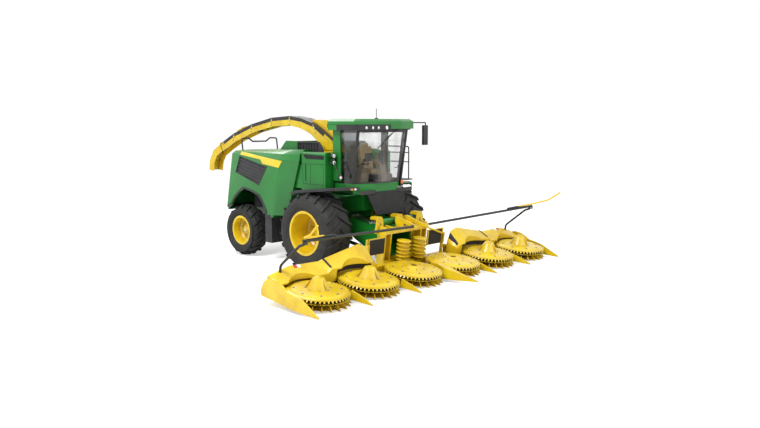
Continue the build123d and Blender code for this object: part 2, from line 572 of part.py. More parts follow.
def sheet(low, high, z0, z1, thick):
    """Upright folded sheet between two plan lines."""
    faces = []
    for line, z in ((low, z0), (high, z1)):
        ring = [(x, y, z) for x, y in line] + [(x - thick, y * 0.999, z) for x, y in reversed(line)]
        faces.append(make_face(Polyline(*ring, close=True)))
    return loft(faces, ruled=True)


windscreen = sheet(screen_low, screen_high, CAB_SILL_Z, CAB_HEAD_Z - 60, GLASS)
side_glass = slab_xz([(CAB_REAR_X + 120, CAB_SILL_Z), (789, CAB_SILL_Z), (1000, CAB_HEAD_Z - 60),
                      (CAB_REAR_X + 120, CAB_HEAD_Z - 60)], -880, -880 + GLASS)
rear_glass = block((CAB_REAR_X + 10, CAB_REAR_X + 10 + GLASS), (-REAR_VIEW_HALF, REAR_VIEW_HALF),
                   (2800, 3560))
node("cab_glass", [windscreen, side_glass, rear_glass])

door_x0 = CAB_REAR_X + 120 + DOOR_GAP
door_low_x1 = 775 - DOOR_GAP
door_high_x1 = 985 - DOOR_GAP
door_outline = [(door_x0, CAB_SILL_Z + DOOR_GAP), (door_low_x1, CAB_SILL_Z + DOOR_GAP),
                (door_high_x1, CAB_HEAD_Z - 60 - DOOR_GAP), (door_x0, CAB_HEAD_Z - 60 - DOOR_GAP)]
door_window = [(door_x0 + 50, CAB_SILL_Z + 60), (door_low_x1 - 48, CAB_SILL_Z + 60),
               (door_high_x1 - 62, CAB_HEAD_Z - 120), (door_x0 + 50, CAB_HEAD_Z - 120)]
door_y1 = CAB_HALF + 2
door_slab = slab_xz(door_outline, door_y1 - DOOR_THICK, door_y1)
door_frame = joined(door_slab - slab_xz(door_window, door_y1 - DOOR_THICK - 1, door_y1 + 1),
                    block((794, 818), (door_y1 - 20, door_y1 + 35), (2560, 2680)))
node("cab_door", joined(door_frame, *[loose for _, loose in door_hinges]))
node("door_glass", slab_xz(door_window, door_y1 - 24, door_y1 - 24 + GLASS))

seat_back = slab_xz([(330, 2560), (470, 2540), (430, 3100), (380, 3230), (300, 3220), (300, 3050)], -240,
                    240)
seat_pad = block((400, 880), (-250, 250), (2440, 2560))
seat_foot = block((460, 760), (-180, 180), (CAB_FLOOR_LOW_Z + 60, 2440))
arm = block((400, 780), (270, 350), (2660, 2740))
arm_post = block((400, 480), (180, 350), (2500, 2660))
node("seat", joined(seat_pad, seat_back, seat_foot, arm, other(arm), arm_post, other(arm_post)))
wheel_at = Plane(origin=(960, 0, 2960), z_dir=(-0.5, 0, 0.866))
steering_wheel = wheel_at * Torus(185, 16)
spokes = wheel_at * joined(Box(360, 40, 14), Box(40, 360, 14), Cylinder(50, 40))
column = rod((1030, 0, CAB_FLOOR_LOW_Z + 66), (960, 0, 2960), 55)
column = joined(column, block((940, 1070), (-90, 90), (CAB_FLOOR_LOW_Z + 60, CAB_FLOOR_LOW_Z + 90)))
node("steering_column", joined(column, spokes, steering_wheel))

# Platform and rail on the left over the front wheel, and the ladder behind that wheel.
PLATFORM_Z = 2196.0
PLATFORM_OUT_Y = 1690.0
platform = slab_xy([(-930, MID_HALF), (MID_FRONT_X + 5, MID_HALF), (MID_FRONT_X + 5, 960), (560, 960),
                    (560, PLATFORM_OUT_Y), (-1440, PLATFORM_OUT_Y), (-1440, 1540), (-1385, 1540),
                    (-930, 1260)],
                   PLATFORM_Z, PLATFORM_Z + 30)
rail_y = PLATFORM_OUT_Y - 30
rail_foot_z = PLATFORM_Z + 30
rails = [tube([(440, rail_y, rail_foot_z), (440, rail_y, 3105), (-540, rail_y, 3105),
               (-540, rail_y, rail_foot_z)], 17, 60),
         tube([(-700, rail_y, rail_foot_z), (-700, rail_y, 3000), (-1045, rail_y, 3000),
               (-1045, rail_y, rail_foot_z)],
              17, 60),
         rod((440, rail_y, 2936), (-540, rail_y, 2936), 14),
         rod((440, rail_y, 2680), (-540, rail_y, 2680), 14)]
brackets = [block((x, x + 50), (CAB_HALF, 970), (PLATFORM_Z, rail_foot_z)) for x in (260, 490)]
ladder_side = [rod((x, PLATFORM_OUT_Y + 20, 540), (x, PLATFORM_OUT_Y + 20, rail_foot_z),
                   20) for x in (-1440, -1080)]
steps = [block((-1440, -1080), (PLATFORM_OUT_Y - 40, PLATFORM_OUT_Y + 70), (z, z + 30))
         for z in (560, 860, 1160, 1460, 1760, 2060)]
ladder_top = block((-1440, -1080), (PLATFORM_OUT_Y - 5, PLATFORM_OUT_Y + 40), (PLATFORM_Z, rail_foot_z))
node("platform", joined(platform, *rails, *brackets, *ladder_side, *steps, ladder_top))

mirror_arm = tube([(1070, 1091, 3760), (1060, 1640, 3760), (1040, 1650, 3670)], 16, 40)
mirror_case = block((1000, 1060), (1560, 1740), (3160, 3690))
left_mirror = joined(mirror_arm, mirror_case)
cluster = joined(rod((300, -946, 2860), (300, -1080, 2860), 20),
                 rod((300, -1060, 2720), (300, -1060, 2990), 16),
                 rod((270, -1060, 2760), (350, -1060, 2760), 55),
                 rod((270, -1060, 2930), (350, -1060, 2930), 55),
                 rod((300, -1060, 2860), (560, -1090, 2430), 14),
                 rod((530, -1090, 2400), (620, -1090, 2400), 48),
                 block((262, 320), (-952, -945), (2800, 2920)))
marker_lamp = block((1000, 1105), (590, 690), (2130, 2290)) - slab_xy(floor_plan, 2000, 2400)
marker_lamp = max(marker_lamp.solids(), key=lambda s: s.volume)
node("cab_fittings", [left_mirror, cluster, roof_band, marker_lamp])
apron = slab_yz([(-700, 1975), (-390, 1975), (-390, 2040), (390, 2040), (390, 1975), (700, 1975),
                 (640, 1445),
                 (-380, 1450)], CAB_FRONT_X, CAB_FRONT_X + 18)
node("apron", apron)

# Spout

base_top_z = SLEW_Z - 30
ring = Pos(SLEW_X, 0, base_top_z - 30) * Cylinder(TURRET_RADIUS, 60)
ring_low = Pos(SLEW_X, 0, (MID_TOP_Z + base_top_z - 60) / 2) * Cylinder(TURRET_RADIUS - 20,
                                                                        base_top_z - 60 - MID_TOP_Z)
duct_bore = Pos(SLEW_X, 0, 2900) * Cylinder(TURRET_BORE, 600)
node("spout_base", joined(ring, ring_low) - duct_bore)
turret_z = base_top_z + SLEW_GAP
turn_ring = Pos(SLEW_X, 0, turret_z + 20) * Cylinder(TURRET_RADIUS, 40)
ear = slab_xz([(SPOUT_HINGE_X - 70, turret_z + 30), (SPOUT_HINGE_X + 110, turret_z + 30),
               (SPOUT_HINGE_X + 50, SPOUT_HINGE_Z + 60), (SPOUT_HINGE_X - 50, SPOUT_HINGE_Z + 60)], -272,
               -248)
ear = ear - rod((SPOUT_HINGE_X, -290, SPOUT_HINGE_Z), (SPOUT_HINGE_X, -240, SPOUT_HINGE_Z),
                SPOUT_PIN_RADIUS + PIN_PLAY)
foot = slab_xz([(SPOUT_FOOT[0] - 90, turret_z), (SPOUT_FOOT[0] + 40, turret_z + 10),
                (SPOUT_FOOT[0] + 40, SPOUT_FOOT[1] + 40), (SPOUT_FOOT[0] - 40, SPOUT_FOOT[1] + 40),
                (SPOUT_FOOT[0] - 90, turret_z + 40)], -60, -40)
foot = foot - rod((SPOUT_FOOT[0], -70, SPOUT_FOOT[1]), (SPOUT_FOOT[0], -30, SPOUT_FOOT[1]), 15 + PIN_PLAY)
turret = joined(turn_ring, ear, other(ear), foot, other(foot))
node("spout_turret", turret - Pos(SLEW_X, 0, 2900) * Cylinder(TURRET_BORE, 260))

# Spout stations: top x, top z, lean of the section from upright, depth, half width
spout_table = [
    (-560, 3000, 90, 430, 228),
    (-640, 3290, 66, 400, 226),
    (-1000, 3510, 40, 340, 222),
    (-1400, 3720, 24, 290, 215),
    (-1910, 3865, 11, 265, 205),
    (-2430, 3930, 2, 250, 195),
    (-3250, 3885, -9, 240, 185),
    (-4230, 3695, -14, 235, 178),
    (-5160, 3410, -21, 235, 172),
    (-5900, 3080, -28, 240, 170),
]


def section(x, z, lean, near, far, half):
    """Rectangle across the spout from one depth to another below its top line."""
    away = Vector(-math.sin(math.radians(lean)), 0, -math.cos(math.radians(lean)))
    top = Vector(x, 0, z) + away * near
    low = Vector(x, 0, z) + away * far
    ring_points = [(top.X, -half, top.Z), (top.X, half, top.Z), (low.X, half, low.Z), (low.X, -half, low.Z)]
    return make_face(Polyline(*ring_points, close=True))


def duct(near, spare, thin):
    faces = [section(x, z, lean, near, depth - spare, half - thin) for x, z, lean, depth,
             half in spout_table]
    return loft(faces, ruled=True)


outer = duct(0, 0, 0)
inner = duct(SPOUT_WALL, SPOUT_WALL, SPOUT_WALL)
open_low = loft([section(x, z, lean, SPOUT_WALL, depth + 60, half - SPOUT_WALL)
                 for x, z, lean, depth, half in spout_table[5:]], ruled=True)
spout_shell = outer - inner - open_low
spout_body = spout_shell - block((-2000, 0), (-600, 600), (2700, turret_z + 50))
top_band = loft([section(x, z, lean, -16, 0, half + 10) for x, z, lean, depth, half in spout_table[1:]],
                ruled=True)
clamp = loft([section(-4640, 3577, -17, -75, 20, 120), section(-5060, 3443, -20, -75, 20, 120)], ruled=True)
clamp = joined(clamp - top_band - inner, rod((-4780, -150, 3590), (-4780, 150, 3590), 26))
duct_solid = max(spout_body.solids(), key=lambda s: s.volume)
node("spout_liner", top_band)

# Spout end flap

flap_outer = loft([section(-5930, 3066, -30, 0, 235, 190), section(-6290, 2880, -40, 0, 240, 185),
                   section(-6530, 2550, -72, 0, 250, 180), section(-6590, 2230, -86, 0, 260, 175)],
                  ruled=True)
flap_inner = loft([section(-5920, 3066, -30, 20, 300, 172), section(-6290, 2880, -40, 20, 300, 167),
                   section(-6530, 2550, -72, 20, 310, 162), section(-6595, 2220, -86, 20, 320, 157)],
                  ruled=True)
sleeves = []
for y in (-150, 66):
    sleeve = joined(rod((FLAP_HINGE_X, y, FLAP_HINGE_Z), (FLAP_HINGE_X, y + 84, FLAP_HINGE_Z),
                        FLAP_PIN_RADIUS + 10),
                    block((FLAP_HINGE_X - 40, FLAP_HINGE_X - 5), (y, y + 84), (3038, 3105)))
    sleeves.append(sleeve - rod((FLAP_HINGE_X, y - 1, FLAP_HINGE_Z), (FLAP_HINGE_X, y + 85, FLAP_HINGE_Z),
                                FLAP_PIN_RADIUS + PIN_PLAY))
node("spout_flap", joined(flap_outer - flap_inner, *[sleeve - flap_inner for sleeve in sleeves]))

# Spout lift cylinder and bracket

tower = slab_xz([(-600, 3180), (-590, 3440), (-780, 3800), (-880, 3820), (-1560, 3840), (-1500, 3700),
                 (-1000, 3440), (-700, 3200)], -110, -90)
tower = tower - rod((SPOUT_EYE[0], -120, SPOUT_EYE[1]), (SPOUT_EYE[0], -80, SPOUT_EYE[1]),
                    15 + SPOUT_EYE_PLAY)
hinge_pin = rod((SPOUT_HINGE_X, -272, SPOUT_HINGE_Z), (SPOUT_HINGE_X, -210, SPOUT_HINGE_Z), SPOUT_PIN_RADIUS)
tower = tower - top_band - inner
flap_bracket = joined(block((FLAP_HINGE_X + 14, FLAP_HINGE_X + 57), (-60, 60), (3060, 3115)),
                      block((FLAP_HINGE_X - 8, FLAP_HINGE_X + 22), (-60, 60), (3094, 3115)),
                      rod((FLAP_HINGE_X, -150, FLAP_HINGE_Z), (FLAP_HINGE_X, 150, FLAP_HINGE_Z),
                          FLAP_PIN_RADIUS))
flap_bracket = flap_bracket - top_band - inner
duct_node = joined(duct_solid, tower, other(tower), hinge_pin, other(hinge_pin), *clamp.solids(),
                   *flap_bracket.solids())
node("spout_duct", duct_node)


def cylinder_pair(foot_at, eye_at, y, bore, wall, barrel_share, pin, foot_half, eye_half):
    """Barrel and rod of one cylinder in a plane of constant Y, each with a cross pin at its eye."""
    foot_v = Vector(foot_at[0], y, foot_at[1])
    eye_v = Vector(eye_at[0], y, eye_at[1])
    run = eye_v - foot_v
    unit = run.normalized()
    mouth = foot_v + run * barrel_share
    floor_at = foot_v + unit * 70
    rod_radius = bore - 8
    barrel = rod(tuple(foot_v + unit * (pin * 2 - 5)), tuple(mouth), bore + wall)
    barrel = barrel - rod(tuple(floor_at), tuple(mouth - unit * 30), bore)
    barrel = joined(barrel - rod(tuple(floor_at), tuple(mouth + unit * 5), rod_radius + ROD_GAP),
                    rod((foot_v.X, y - foot_half, foot_v.Z), (foot_v.X, y + foot_half, foot_v.Z), pin),
                    rod((foot_v.X, y - pin * 1.4, foot_v.Z), (foot_v.X, y + pin * 1.4, foot_v.Z), pin * 2))
    stem = joined(rod(tuple(floor_at + run * (barrel_share * 0.55)), tuple(eye_v), rod_radius),
                  rod((eye_v.X, y - eye_half, eye_v.Z), (eye_v.X, y + eye_half, eye_v.Z), pin),
                  rod((eye_v.X, y - pin * 1.4, eye_v.Z), (eye_v.X, y + pin * 1.4, eye_v.Z), pin * 2))
    return barrel, stem


spout_barrel, spout_stem = cylinder_pair(SPOUT_FOOT, SPOUT_EYE, 0, 25, 12, 0.60, 15, 60, 112)
node("spout_cylinder_barrel", spout_barrel)
node("spout_cylinder_rod", spout_stem)

# Cradle

cradle = tube([(-4050, -650, 2880), (-4110, -650, 3290), (-4110, -400, 3300), (-4110, -250, 3200),
               (-4110, 250, 3200), (-4110, 400, 3300), (-4110, 650, 3290), (-4050, 650, 2880)], 22, 50)
node("spout_cradle", cradle - body_solid)

# Feeder house and header

header_at = Pos(HEADER_X, 0, HEADER_Z) * Rot(0, HEADER_TILT, 0)
feeder_outline = [(FEEDER_PIVOT_X - 70, 1085), (FEEDER_PIVOT_X - 70, 1290), (FEEDER_PIVOT_X + 200, 1330),
                  (1420, 1080), (1500, 1000), (1500, 430), (1380, 400), (500, 820)]
feeder_wall = slab_xz(feeder_outline, -540, -500)
feeder_top = slab_xz([(FEEDER_PIVOT_X - 70, 1290), (FEEDER_PIVOT_X + 200, 1330), (1420, 1080), (1420, 1040),
                      (FEEDER_PIVOT_X + 190, 1290), (FEEDER_PIVOT_X - 70, 1250)], -500, 500)
feeder_low = slab_xz([(500, 820), (1380, 400), (1380, 440), (520, 860)], -500, 500)
cross_tube = rod((1440, -620, 1300), (1440, 620, 1300), 90)
tube_post = block((1380, 1500), (-560, -500), (1000, 1310))
frame_ring = joined(block((1440, 1500), (-700, -540), (430, 1200)),
                    block((1440, 1500), (-700, -540), (420, 520)))

feeder_pin = rod((FEEDER_PIVOT_X, -600, FEEDER_PIVOT_Z), (FEEDER_PIVOT_X, -530, FEEDER_PIVOT_Z),
                 FEEDER_PIN_RADIUS)
eye_lug = joined(block((LIFT_EYE[0] - 60, LIFT_EYE[0] + 66), (-610, -530),
                       (LIFT_EYE[1] - 60, LIFT_EYE[1] + 60)),
                 block((LIFT_EYE[0] - 60, LIFT_EYE[0] + 66), (-690, -670),
                       (LIFT_EYE[1] - 60, LIFT_EYE[1] + 60)),
                 block((LIFT_EYE[0] + 50, LIFT_EYE[0] + 66), (-690, -600),
                       (LIFT_EYE[1] - 60, LIFT_EYE[1] + 60)))
eye_lug = eye_lug - rod((LIFT_EYE[0], -700, LIFT_EYE[1]), (LIFT_EYE[0], -560, LIFT_EYE[1]),
                        LIFT_PIN_RADIUS + LIFT_EYE_PLAY)
eye_lug = eye_lug - block((LIFT_EYE[0] - 61, LIFT_EYE[0] + 49), (-669, -611),
                          (LIFT_EYE[1] - 61, LIFT_EYE[1] + 61))
node("feeder_house", joined(feeder_wall, other(feeder_wall), feeder_top, feeder_low, cross_tube, tube_post,
                            other(tube_post), frame_ring, other(frame_ring), feeder_pin, other(feeder_pin),
                            eye_lug, other(eye_lug)))
lift_barrel, lift_stem = cylinder_pair(LIFT_FOOT, LIFT_EYE, -LIFT_Y, LIFT_BORE, 14, 0.62, LIFT_PIN_RADIUS,
                                       48, 48)
node("lift_cylinder_barrels", [lift_barrel, other(lift_barrel)])
node("lift_cylinder_rods", [lift_stem, other(lift_stem)])


def in_header(shape):
    return header_at * shape


def rotor(cone):
    """Rotor about the local Z axis: two tooth rings on a drum, and a stepped top plate."""
    tip = TOOTH_TIP_RADIUS
    root = tip - TOOTH_DEEP
    ring_points = []
    for i in range(TEETH):
        a = 2 * math.pi * i / TEETH
        b = 2 * math.pi * (i + 0.62) / TEETH
        ring_points.append((root * math.cos(a), root * math.sin(a)))
        ring_points.append((tip * math.cos(b), tip * math.sin(b)))
    if cone:
        crown = [(250, 62), (120, 270), (85, 288)]
    else:
        crown = [(210, 62), (170, 88), (75, 98), (75, 66)]
    profile = [(0, -60), (HUB_BORE, -60), (HUB_BORE, -170), (330, -170), (330, -110), (tip - 90, -92),
               (tip - 90, -82), (330, -78), (330, -20), (tip - 80, -12), (tip - 50, -6), (tip - 50, 8),
               (tip - 105, 14), (tip - 150, 40), (tip - 175, 44), (300, 54)]
    profile = profile + crown + [(0, crown[-1][1])]
    body = revolve(make_face(Polyline(*[(r, 0, z) for r, z in profile], close=True)), axis=Axis.Z)
    upper = slab_xy(ring_points, -6, 4)
    lower = slab_xy(ring_points, -92, -82) - Pos(0, 0, -87) * Cylinder(HUB_BORE, 20)
    return joined(body, upper, Rot(0, 0, 360 / TEETH / 2) * lower)


cone_rotor = rotor(True)
plain_rotor = rotor(False)
rotor_table = [  # name, pitch steps from the middle, has a cone
    ("rotor_1", -2.5, True),
    ("rotor_2", -1.5, True),
    ("rotor_3", -0.5, False),
    ("rotor_4", 0.5, False),
    ("rotor_5", 1.5, True),
    ("rotor_6", 2.5, True),
]
for name, step, cone in rotor_table:
    y = step * ROTOR_PITCH
    node(name, in_header(Pos(0, y, 0) * (cone_rotor if cone else plain_rotor)))


def pan(y0, y1, centres):
    """Underside of a header section: under each rotor a foot with its shaft, and a fan of guard fins."""
    tip = TOOTH_TIP_RADIUS
    plate = block((-820, 300), (y0, y1), (-250, -235))
    parts = [plate]
    for y in centres:
        parts.append(Pos(0, y, -215) * Cylinder(200, 70))
        parts.append(Pos(0, y, -155) * Cylinder(STUB_RADIUS, 170))
        disc_pan = Pos(0, y, -242) * Cylinder(tip - 130, 16)
        parts.append(disc_pan & block((-900, 700), (y0, y1), (-300, 0)))
        for k in range(GUARDS):
            turn = GUARD_TURN * (k - (GUARDS - 1) / 2)
            blade = slab_xy([(tip - 170, -30), (tip + 30, 0), (tip - 170, 30)], -242, -228)
            fin = slab_xz([(tip - 170, -242), (tip - 110, -112), (tip - 60, -128), (tip + 30, -228)], -5, 5)
            parts.append(Pos(0, y, 0) * Rot(0, 0, turn) * joined(blade, fin))
    return joined(*parts)


pitch = ROTOR_PITCH
centre_pan = pan(-WING_LINE_Y + WING_GAP / 2, WING_LINE_Y - WING_GAP / 2, (-pitch / 2, pitch / 2))
centre_beam = block((-960, -760), (-pitch + 20, pitch - 20), (-250, -90))
headstock = [block((-1195, -960), (y - 20, y + 20), (-60, 780)) for y in (-760, -560, 560, 760)]
stock_low = block((-1195, -900), (-780, 780), (-160, -60))
top_beam = block((-1195, -960), (-780, 780), (600, 700))
drum_feet = []
for y in (-DRUM_Y, DRUM_Y):
    drum_feet.append(Pos(DRUM_X, y, -105) * Cylinder(100, 30))
    drum_feet.append(Pos(DRUM_X, y, -35) * Cylinder(DRUM_SHAFT_RADIUS - PIN_PLAY, 130))
header_core = in_header(joined(centre_pan, centre_beam, stock_low, top_beam, *headstock, *drum_feet))


def hook(y):
    """Slotted ear on the header's top beam, with a claw over the feeder house's cross tube."""
    ear_plate = slab_yz([(y - 160, 1080), (y + 160, 1080), (y + 90, 1430), (y + 60, 1480), (y - 60, 1480),
                         (y - 90, 1430)], 1596, 1640)
    ear_plate = ear_plate - block((1590, 1650), (y - 14, y + 14), (1220, 1330))
    claw = slab_xz([(1610, 1480), (1400, 1480), (1350, 1440), (1350, 1400), (1420, 1395), (1545, 1395),
                    (1580, 1340), (1610, 1340)], y - 60, y + 60)
    return joined(ear_plate, claw)


hooks = [hook(y) for y in (-740, 0, 750)]

drum_outline = [(0, 30), (DRUM_SHAFT_RADIUS, 30), (DRUM_SHAFT_RADIUS, -80), (DRUM_RADIUS, -80)]
for k in range(DRUM_RINGS):
    z = -80 + 92 * k
    drum_outline += [(DRUM_RADIUS, z + 16), (DRUM_RADIUS - 42, z + 34), (DRUM_RADIUS - 42, z + 78),
                     (DRUM_RADIUS, z + 92)]
drum_outline += [(DRUM_RADIUS, 396), (DRUM_RADIUS - 60, 410), (0, 420)]
drum = revolve(make_face(Polyline(*[(r, 0, z) for r, z in drum_outline], close=True)), axis=Axis.Z)
node("feed_drum_right", in_header(Pos(DRUM_X, -DRUM_Y, 60) * drum))
node("feed_drum_left", in_header(Pos(DRUM_X, DRUM_Y, 60) * drum))

# Wing: pan, rear cover, end shield, dividers and the arm that carries the bar.
right_pan = pan(-HEADER_HALF + 40, -WING_LINE_Y - WING_GAP / 2, (-1.5 * pitch, -2.5 * pitch))
wing_beam = block((-960, -760), (-HEADER_HALF + 40, -WING_LINE_Y - 40), (-250, -90))

# Rear cover stations: distance from the middle, top at the back, top at the front edge
cover_table = [
    (pitch + 10, 180, 100),
    (pitch + 120, 470, 160),
    (pitch + 330, 545, 205),
    (2 * pitch - 60, 330, 200),
    (2 * pitch + 40, 300, 120),
    (2.6 * pitch, 320, 95),
    (3 * pitch - 80, 190, 90),
]
COVER_BACK_X = -830.0
COVER_FRONT_X = -470.0


def cover_section(y, top, low):
    ring_points = [(COVER_BACK_X, y, -90), (COVER_BACK_X, y, top), (COVER_BACK_X + 35, y, top),
                   (COVER_FRONT_X, y, low), (COVER_FRONT_X, y, -90)]
    return make_face(Polyline(*ring_points, close=True))


cover = loft([cover_section(-d, top, low) for d, top, low in cover_table], ruled=True)
slot_table = [  # rotor middle, top of the room under the cover's lip
    (1.5 * pitch, 165),
    (2.5 * pitch, 62),
]
for d, roof in slot_table:
    cover = cover - Pos(0, -d, (roof - 200) / 2) * Cylinder(TOOTH_TIP_RADIUS + 14, roof + 200)
    cover = cover - Pos(0, -d, 300) * Cylinder(TOOTH_TIP_RADIUS - 75, 900)


def snout(sections):
    """Pointed divider through sections (x, middle y, half width, low z, high z, half width at top)."""
    faces = []
    for x, y, w, z0, z1, t in sections:
        faces.append(make_face(Polyline((x, y - w, z0), (x, y + w, z0), (x, y + t, z1), (x, y - t, z1),
                                        close=True)))
    return loft(faces, ruled=True)


# End shield: a tall curved plate round the outer rotor, then the end divider.
end_y = -HEADER_HALF + 20
shield_outline = [(-900, -250), (-900, -60), (-860, 60), (-760, 150), (-620, 195), (-450, 190), (-260, 130),
                  (-140, 62), (-140, -250)]
end_plate = slab_xz(shield_outline, end_y - 10, end_y + 40)
end_snout = snout([(-150, end_y + 8, 30, -250, 66, 22), (60, end_y + 10, 32, -250, 50, 22),
                   (300, end_y + 32, 50, -250, 18, 26), (860, end_y + 18, 12, -212, -176, 8)])
fin_snout = snout([(240, -2 * pitch, 40, -250, -60, 22), (520, -2 * pitch, 30, -240, -100, 14),
                   (880, -2 * pitch, 10, -214, -186, 7)])
wing_lugs = [rod((-965, -WING_LINE_Y, FOLD_Z), (-865, -WING_LINE_Y, FOLD_Z), FOLD_PIN_RADIUS)]
for x in (-965, -895):
    wing_lugs.append(block((x, x + 30), (-WING_LINE_Y - 100, -WING_LINE_Y - 45), (-95, FOLD_Z + 35)))
    wing_lugs.append(block((x, x + 30), (-WING_LINE_Y - 100, -WING_LINE_Y + 28), (FOLD_Z - 28, FOLD_Z + 35)))
wing = in_header(joined(right_pan, wing_beam, end_plate, end_snout, fin_snout, *cover.solids(), *wing_lugs))
node("wing_frame_right", wing)
node("wing_frame_left", other(wing))
centre_snout = snout([(-80, 0, 40, -250, 60, 30), (150, 0, 52, -250, 60, 44), (380, 0, 125, -240, 40, 95),
                      (760, 0, 80, -180, 0, 52), (1345, 0, 12, -75, -48, 8)])
seam_y = WING_LINE_Y - 60
seam_snout = snout([(260, -seam_y, 36, -250, -60, 22), (520, -seam_y, 28, -240, -100, 14),
                    (880, -seam_y - 10, 10, -214, -186, 7)])
snouts = joined(centre_snout, seam_snout, other(seam_snout))

# Deflector bar: each half turns on the centre bracket and lies in a fork on the wing's arm.
bar_in = (BAR_HINGE[0], BAR_HINGE[1] - 19, BAR_HINGE[2])
bar_out_y = -HEADER_HALF + 300
bar_out = (2830, bar_out_y, 1430)
horn_start = (2690, -HEADER_HALF + 1300, 1434)
arm_y = -HEADER_HALF + 360
arm_foot = (1985, arm_y, 590)
arm_top = (2795, arm_y - 10, 1355)
arm_tube = tube([arm_foot, (2020, arm_y, 820), (2640, arm_y - 10, 1300), arm_top], 28, 120)
fork_x = 2823
fork_ys = (arm_y - 32, arm_y + 12)
arm_tube = joined(arm_tube, block((fork_x - 58, fork_x + 58), fork_ys, (1358, 1388)),
                  block((fork_x - 58, fork_x - 44), fork_ys, (1360, 1440)),
                  block((fork_x + 44, fork_x + 58), fork_ys, (1360, 1440)))
arm_tube = arm_tube - wing
node("arm_right", arm_tube)
node("arm_left", other(arm_tube))
tilt_x = math.cos(math.radians(HEADER_TILT))
tilt_z = math.sin(math.radians(HEADER_TILT))


def bar_cross(half, radius):
    """Round bar through the bar's hinge, along the header's own fore and aft line."""
    x, y, z = BAR_HINGE
    return rod((x - half * tilt_x, y, z + half * tilt_z), (x + half * tilt_x, y, z - half * tilt_z), radius)


bar_cheeks = joined(block((2188, 2218), (-262, -150), (1212, 1288)),
                    block((2308, 2338), (-262, -150), (1212, 1288)),
                    block((2188, 2338), (-190, -150), (1212, 1288)), bar_cross(72, BAR_PIN_RADIUS))
bar_eye = bar_cross(27, 30) - bar_cross(60, BAR_PIN_RADIUS + PIN_PLAY)
bar_tube = rod(bar_in, bar_out, BAR_RADIUS) - bar_cross(60, BAR_PIN_RADIUS + PIN_PLAY)
bar_right = joined(bar_tube, bar_eye,
                   tube([horn_start, (2870, bar_out_y - 30, 1500), (3250, bar_out_y - 180, 1620),
                         (3560, bar_out_y - 270, 1840)], 22, 160))
node("bar_right", bar_right)
node("bar_left", other(bar_right))
bar_bracket = joined(slab_xz([(1700, 1130), (1625, 1300), (1625, 1440), (1700, 1450), (2240, 1288),
                              (2240, 1212),
                              (1900, 1290), (1860, 1130)], -190, -150), bar_cheeks)
adapter = block((1500, 1575), (-700, -540), (430, 1180))

# Rubber flap beside the throat, in its frame, and the post that carries the wing's fold hinge.
flap_panel = block((-960, -930), (-pitch + 56, -800), (150, 560))
flap_post = joined(block((-960, -900), (-pitch + 56, -pitch + 116), (-200, 200)),
                   block((-960, -870), (-pitch + 56, -pitch + 116), (170, 440)))
fold_lug = block((-930, -900), (-WING_LINE_Y - 32, -WING_LINE_Y + 100), (FOLD_Z - 40, FOLD_Z + 40))
fold_lug = joined(fold_lug, flap_post) - rod((-1000, -WING_LINE_Y, FOLD_Z), (-800, -WING_LINE_Y, FOLD_Z),
                                             FOLD_PIN_RADIUS + PIN_PLAY)
brace = rod((2080, 175, 1270), (1872, pitch - 90, 860), 26)
node("header_frame", joined(header_core, bar_bracket, other(bar_bracket), adapter, other(adapter), *hooks,
                            in_header(snouts), in_header(flap_panel), in_header(other(flap_panel)),
                            in_header(fold_lug), in_header(other(fold_lug)), brace))
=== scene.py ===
import json
import math
import bmesh
import bpy
from mathutils import Matrix, Vector
from mathutils.bvhtree import BVHTree


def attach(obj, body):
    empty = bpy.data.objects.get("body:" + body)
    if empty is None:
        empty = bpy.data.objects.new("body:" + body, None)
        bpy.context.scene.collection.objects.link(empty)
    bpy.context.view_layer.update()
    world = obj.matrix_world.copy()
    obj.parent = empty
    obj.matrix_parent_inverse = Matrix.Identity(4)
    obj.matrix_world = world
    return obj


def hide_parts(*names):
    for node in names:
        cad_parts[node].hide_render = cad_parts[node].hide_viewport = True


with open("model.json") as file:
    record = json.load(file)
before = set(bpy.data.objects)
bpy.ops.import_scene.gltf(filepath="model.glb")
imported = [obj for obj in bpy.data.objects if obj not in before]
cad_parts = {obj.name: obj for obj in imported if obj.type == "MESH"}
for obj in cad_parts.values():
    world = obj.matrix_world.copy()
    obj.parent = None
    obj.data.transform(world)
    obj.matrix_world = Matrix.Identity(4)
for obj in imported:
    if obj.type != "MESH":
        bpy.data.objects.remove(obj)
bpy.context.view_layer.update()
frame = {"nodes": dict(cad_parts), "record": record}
nodes = frame["nodes"]

# Colours and materials


def hex_colour(code):
    """Linear RGBA of an sRGB hex colour."""
    parts = [int(code[i:i + 2], 16) / 255 for i in (0, 2, 4)]
    linear = [c / 12.92 if c <= 0.04045 else ((c + 0.055) / 1.055) ** 2.4 for c in parts]
    return (*linear, 1.0)


def add_node(tree, kind, settings=None, links=None, **attributes):
    """Adds a node, sets its attributes and socket values, and links (node, output) pairs into it."""
    made = tree.nodes.new(kind)
    for key, value in attributes.items():
        setattr(made, key, value)
    for key, value in (settings or {}).items():
        made.inputs[key].default_value = value
    for key, (source, output) in (links or {}).items():
        tree.links.new(source.outputs[output], made.inputs[key])
    return made


def surface(name, **sockets):
    """Material with one Principled surface, its tree, its surface node and object coordinates."""
    material = bpy.data.materials.new(name)
    material.use_nodes = True
    tree = material.node_tree
    shader = tree.nodes["Principled BSDF"]
    for key, value in sockets.items():
        shader.inputs[key.replace("_", " ")].default_value = value
    return material, tree, shader, add_node(tree, "ShaderNodeTexCoord")


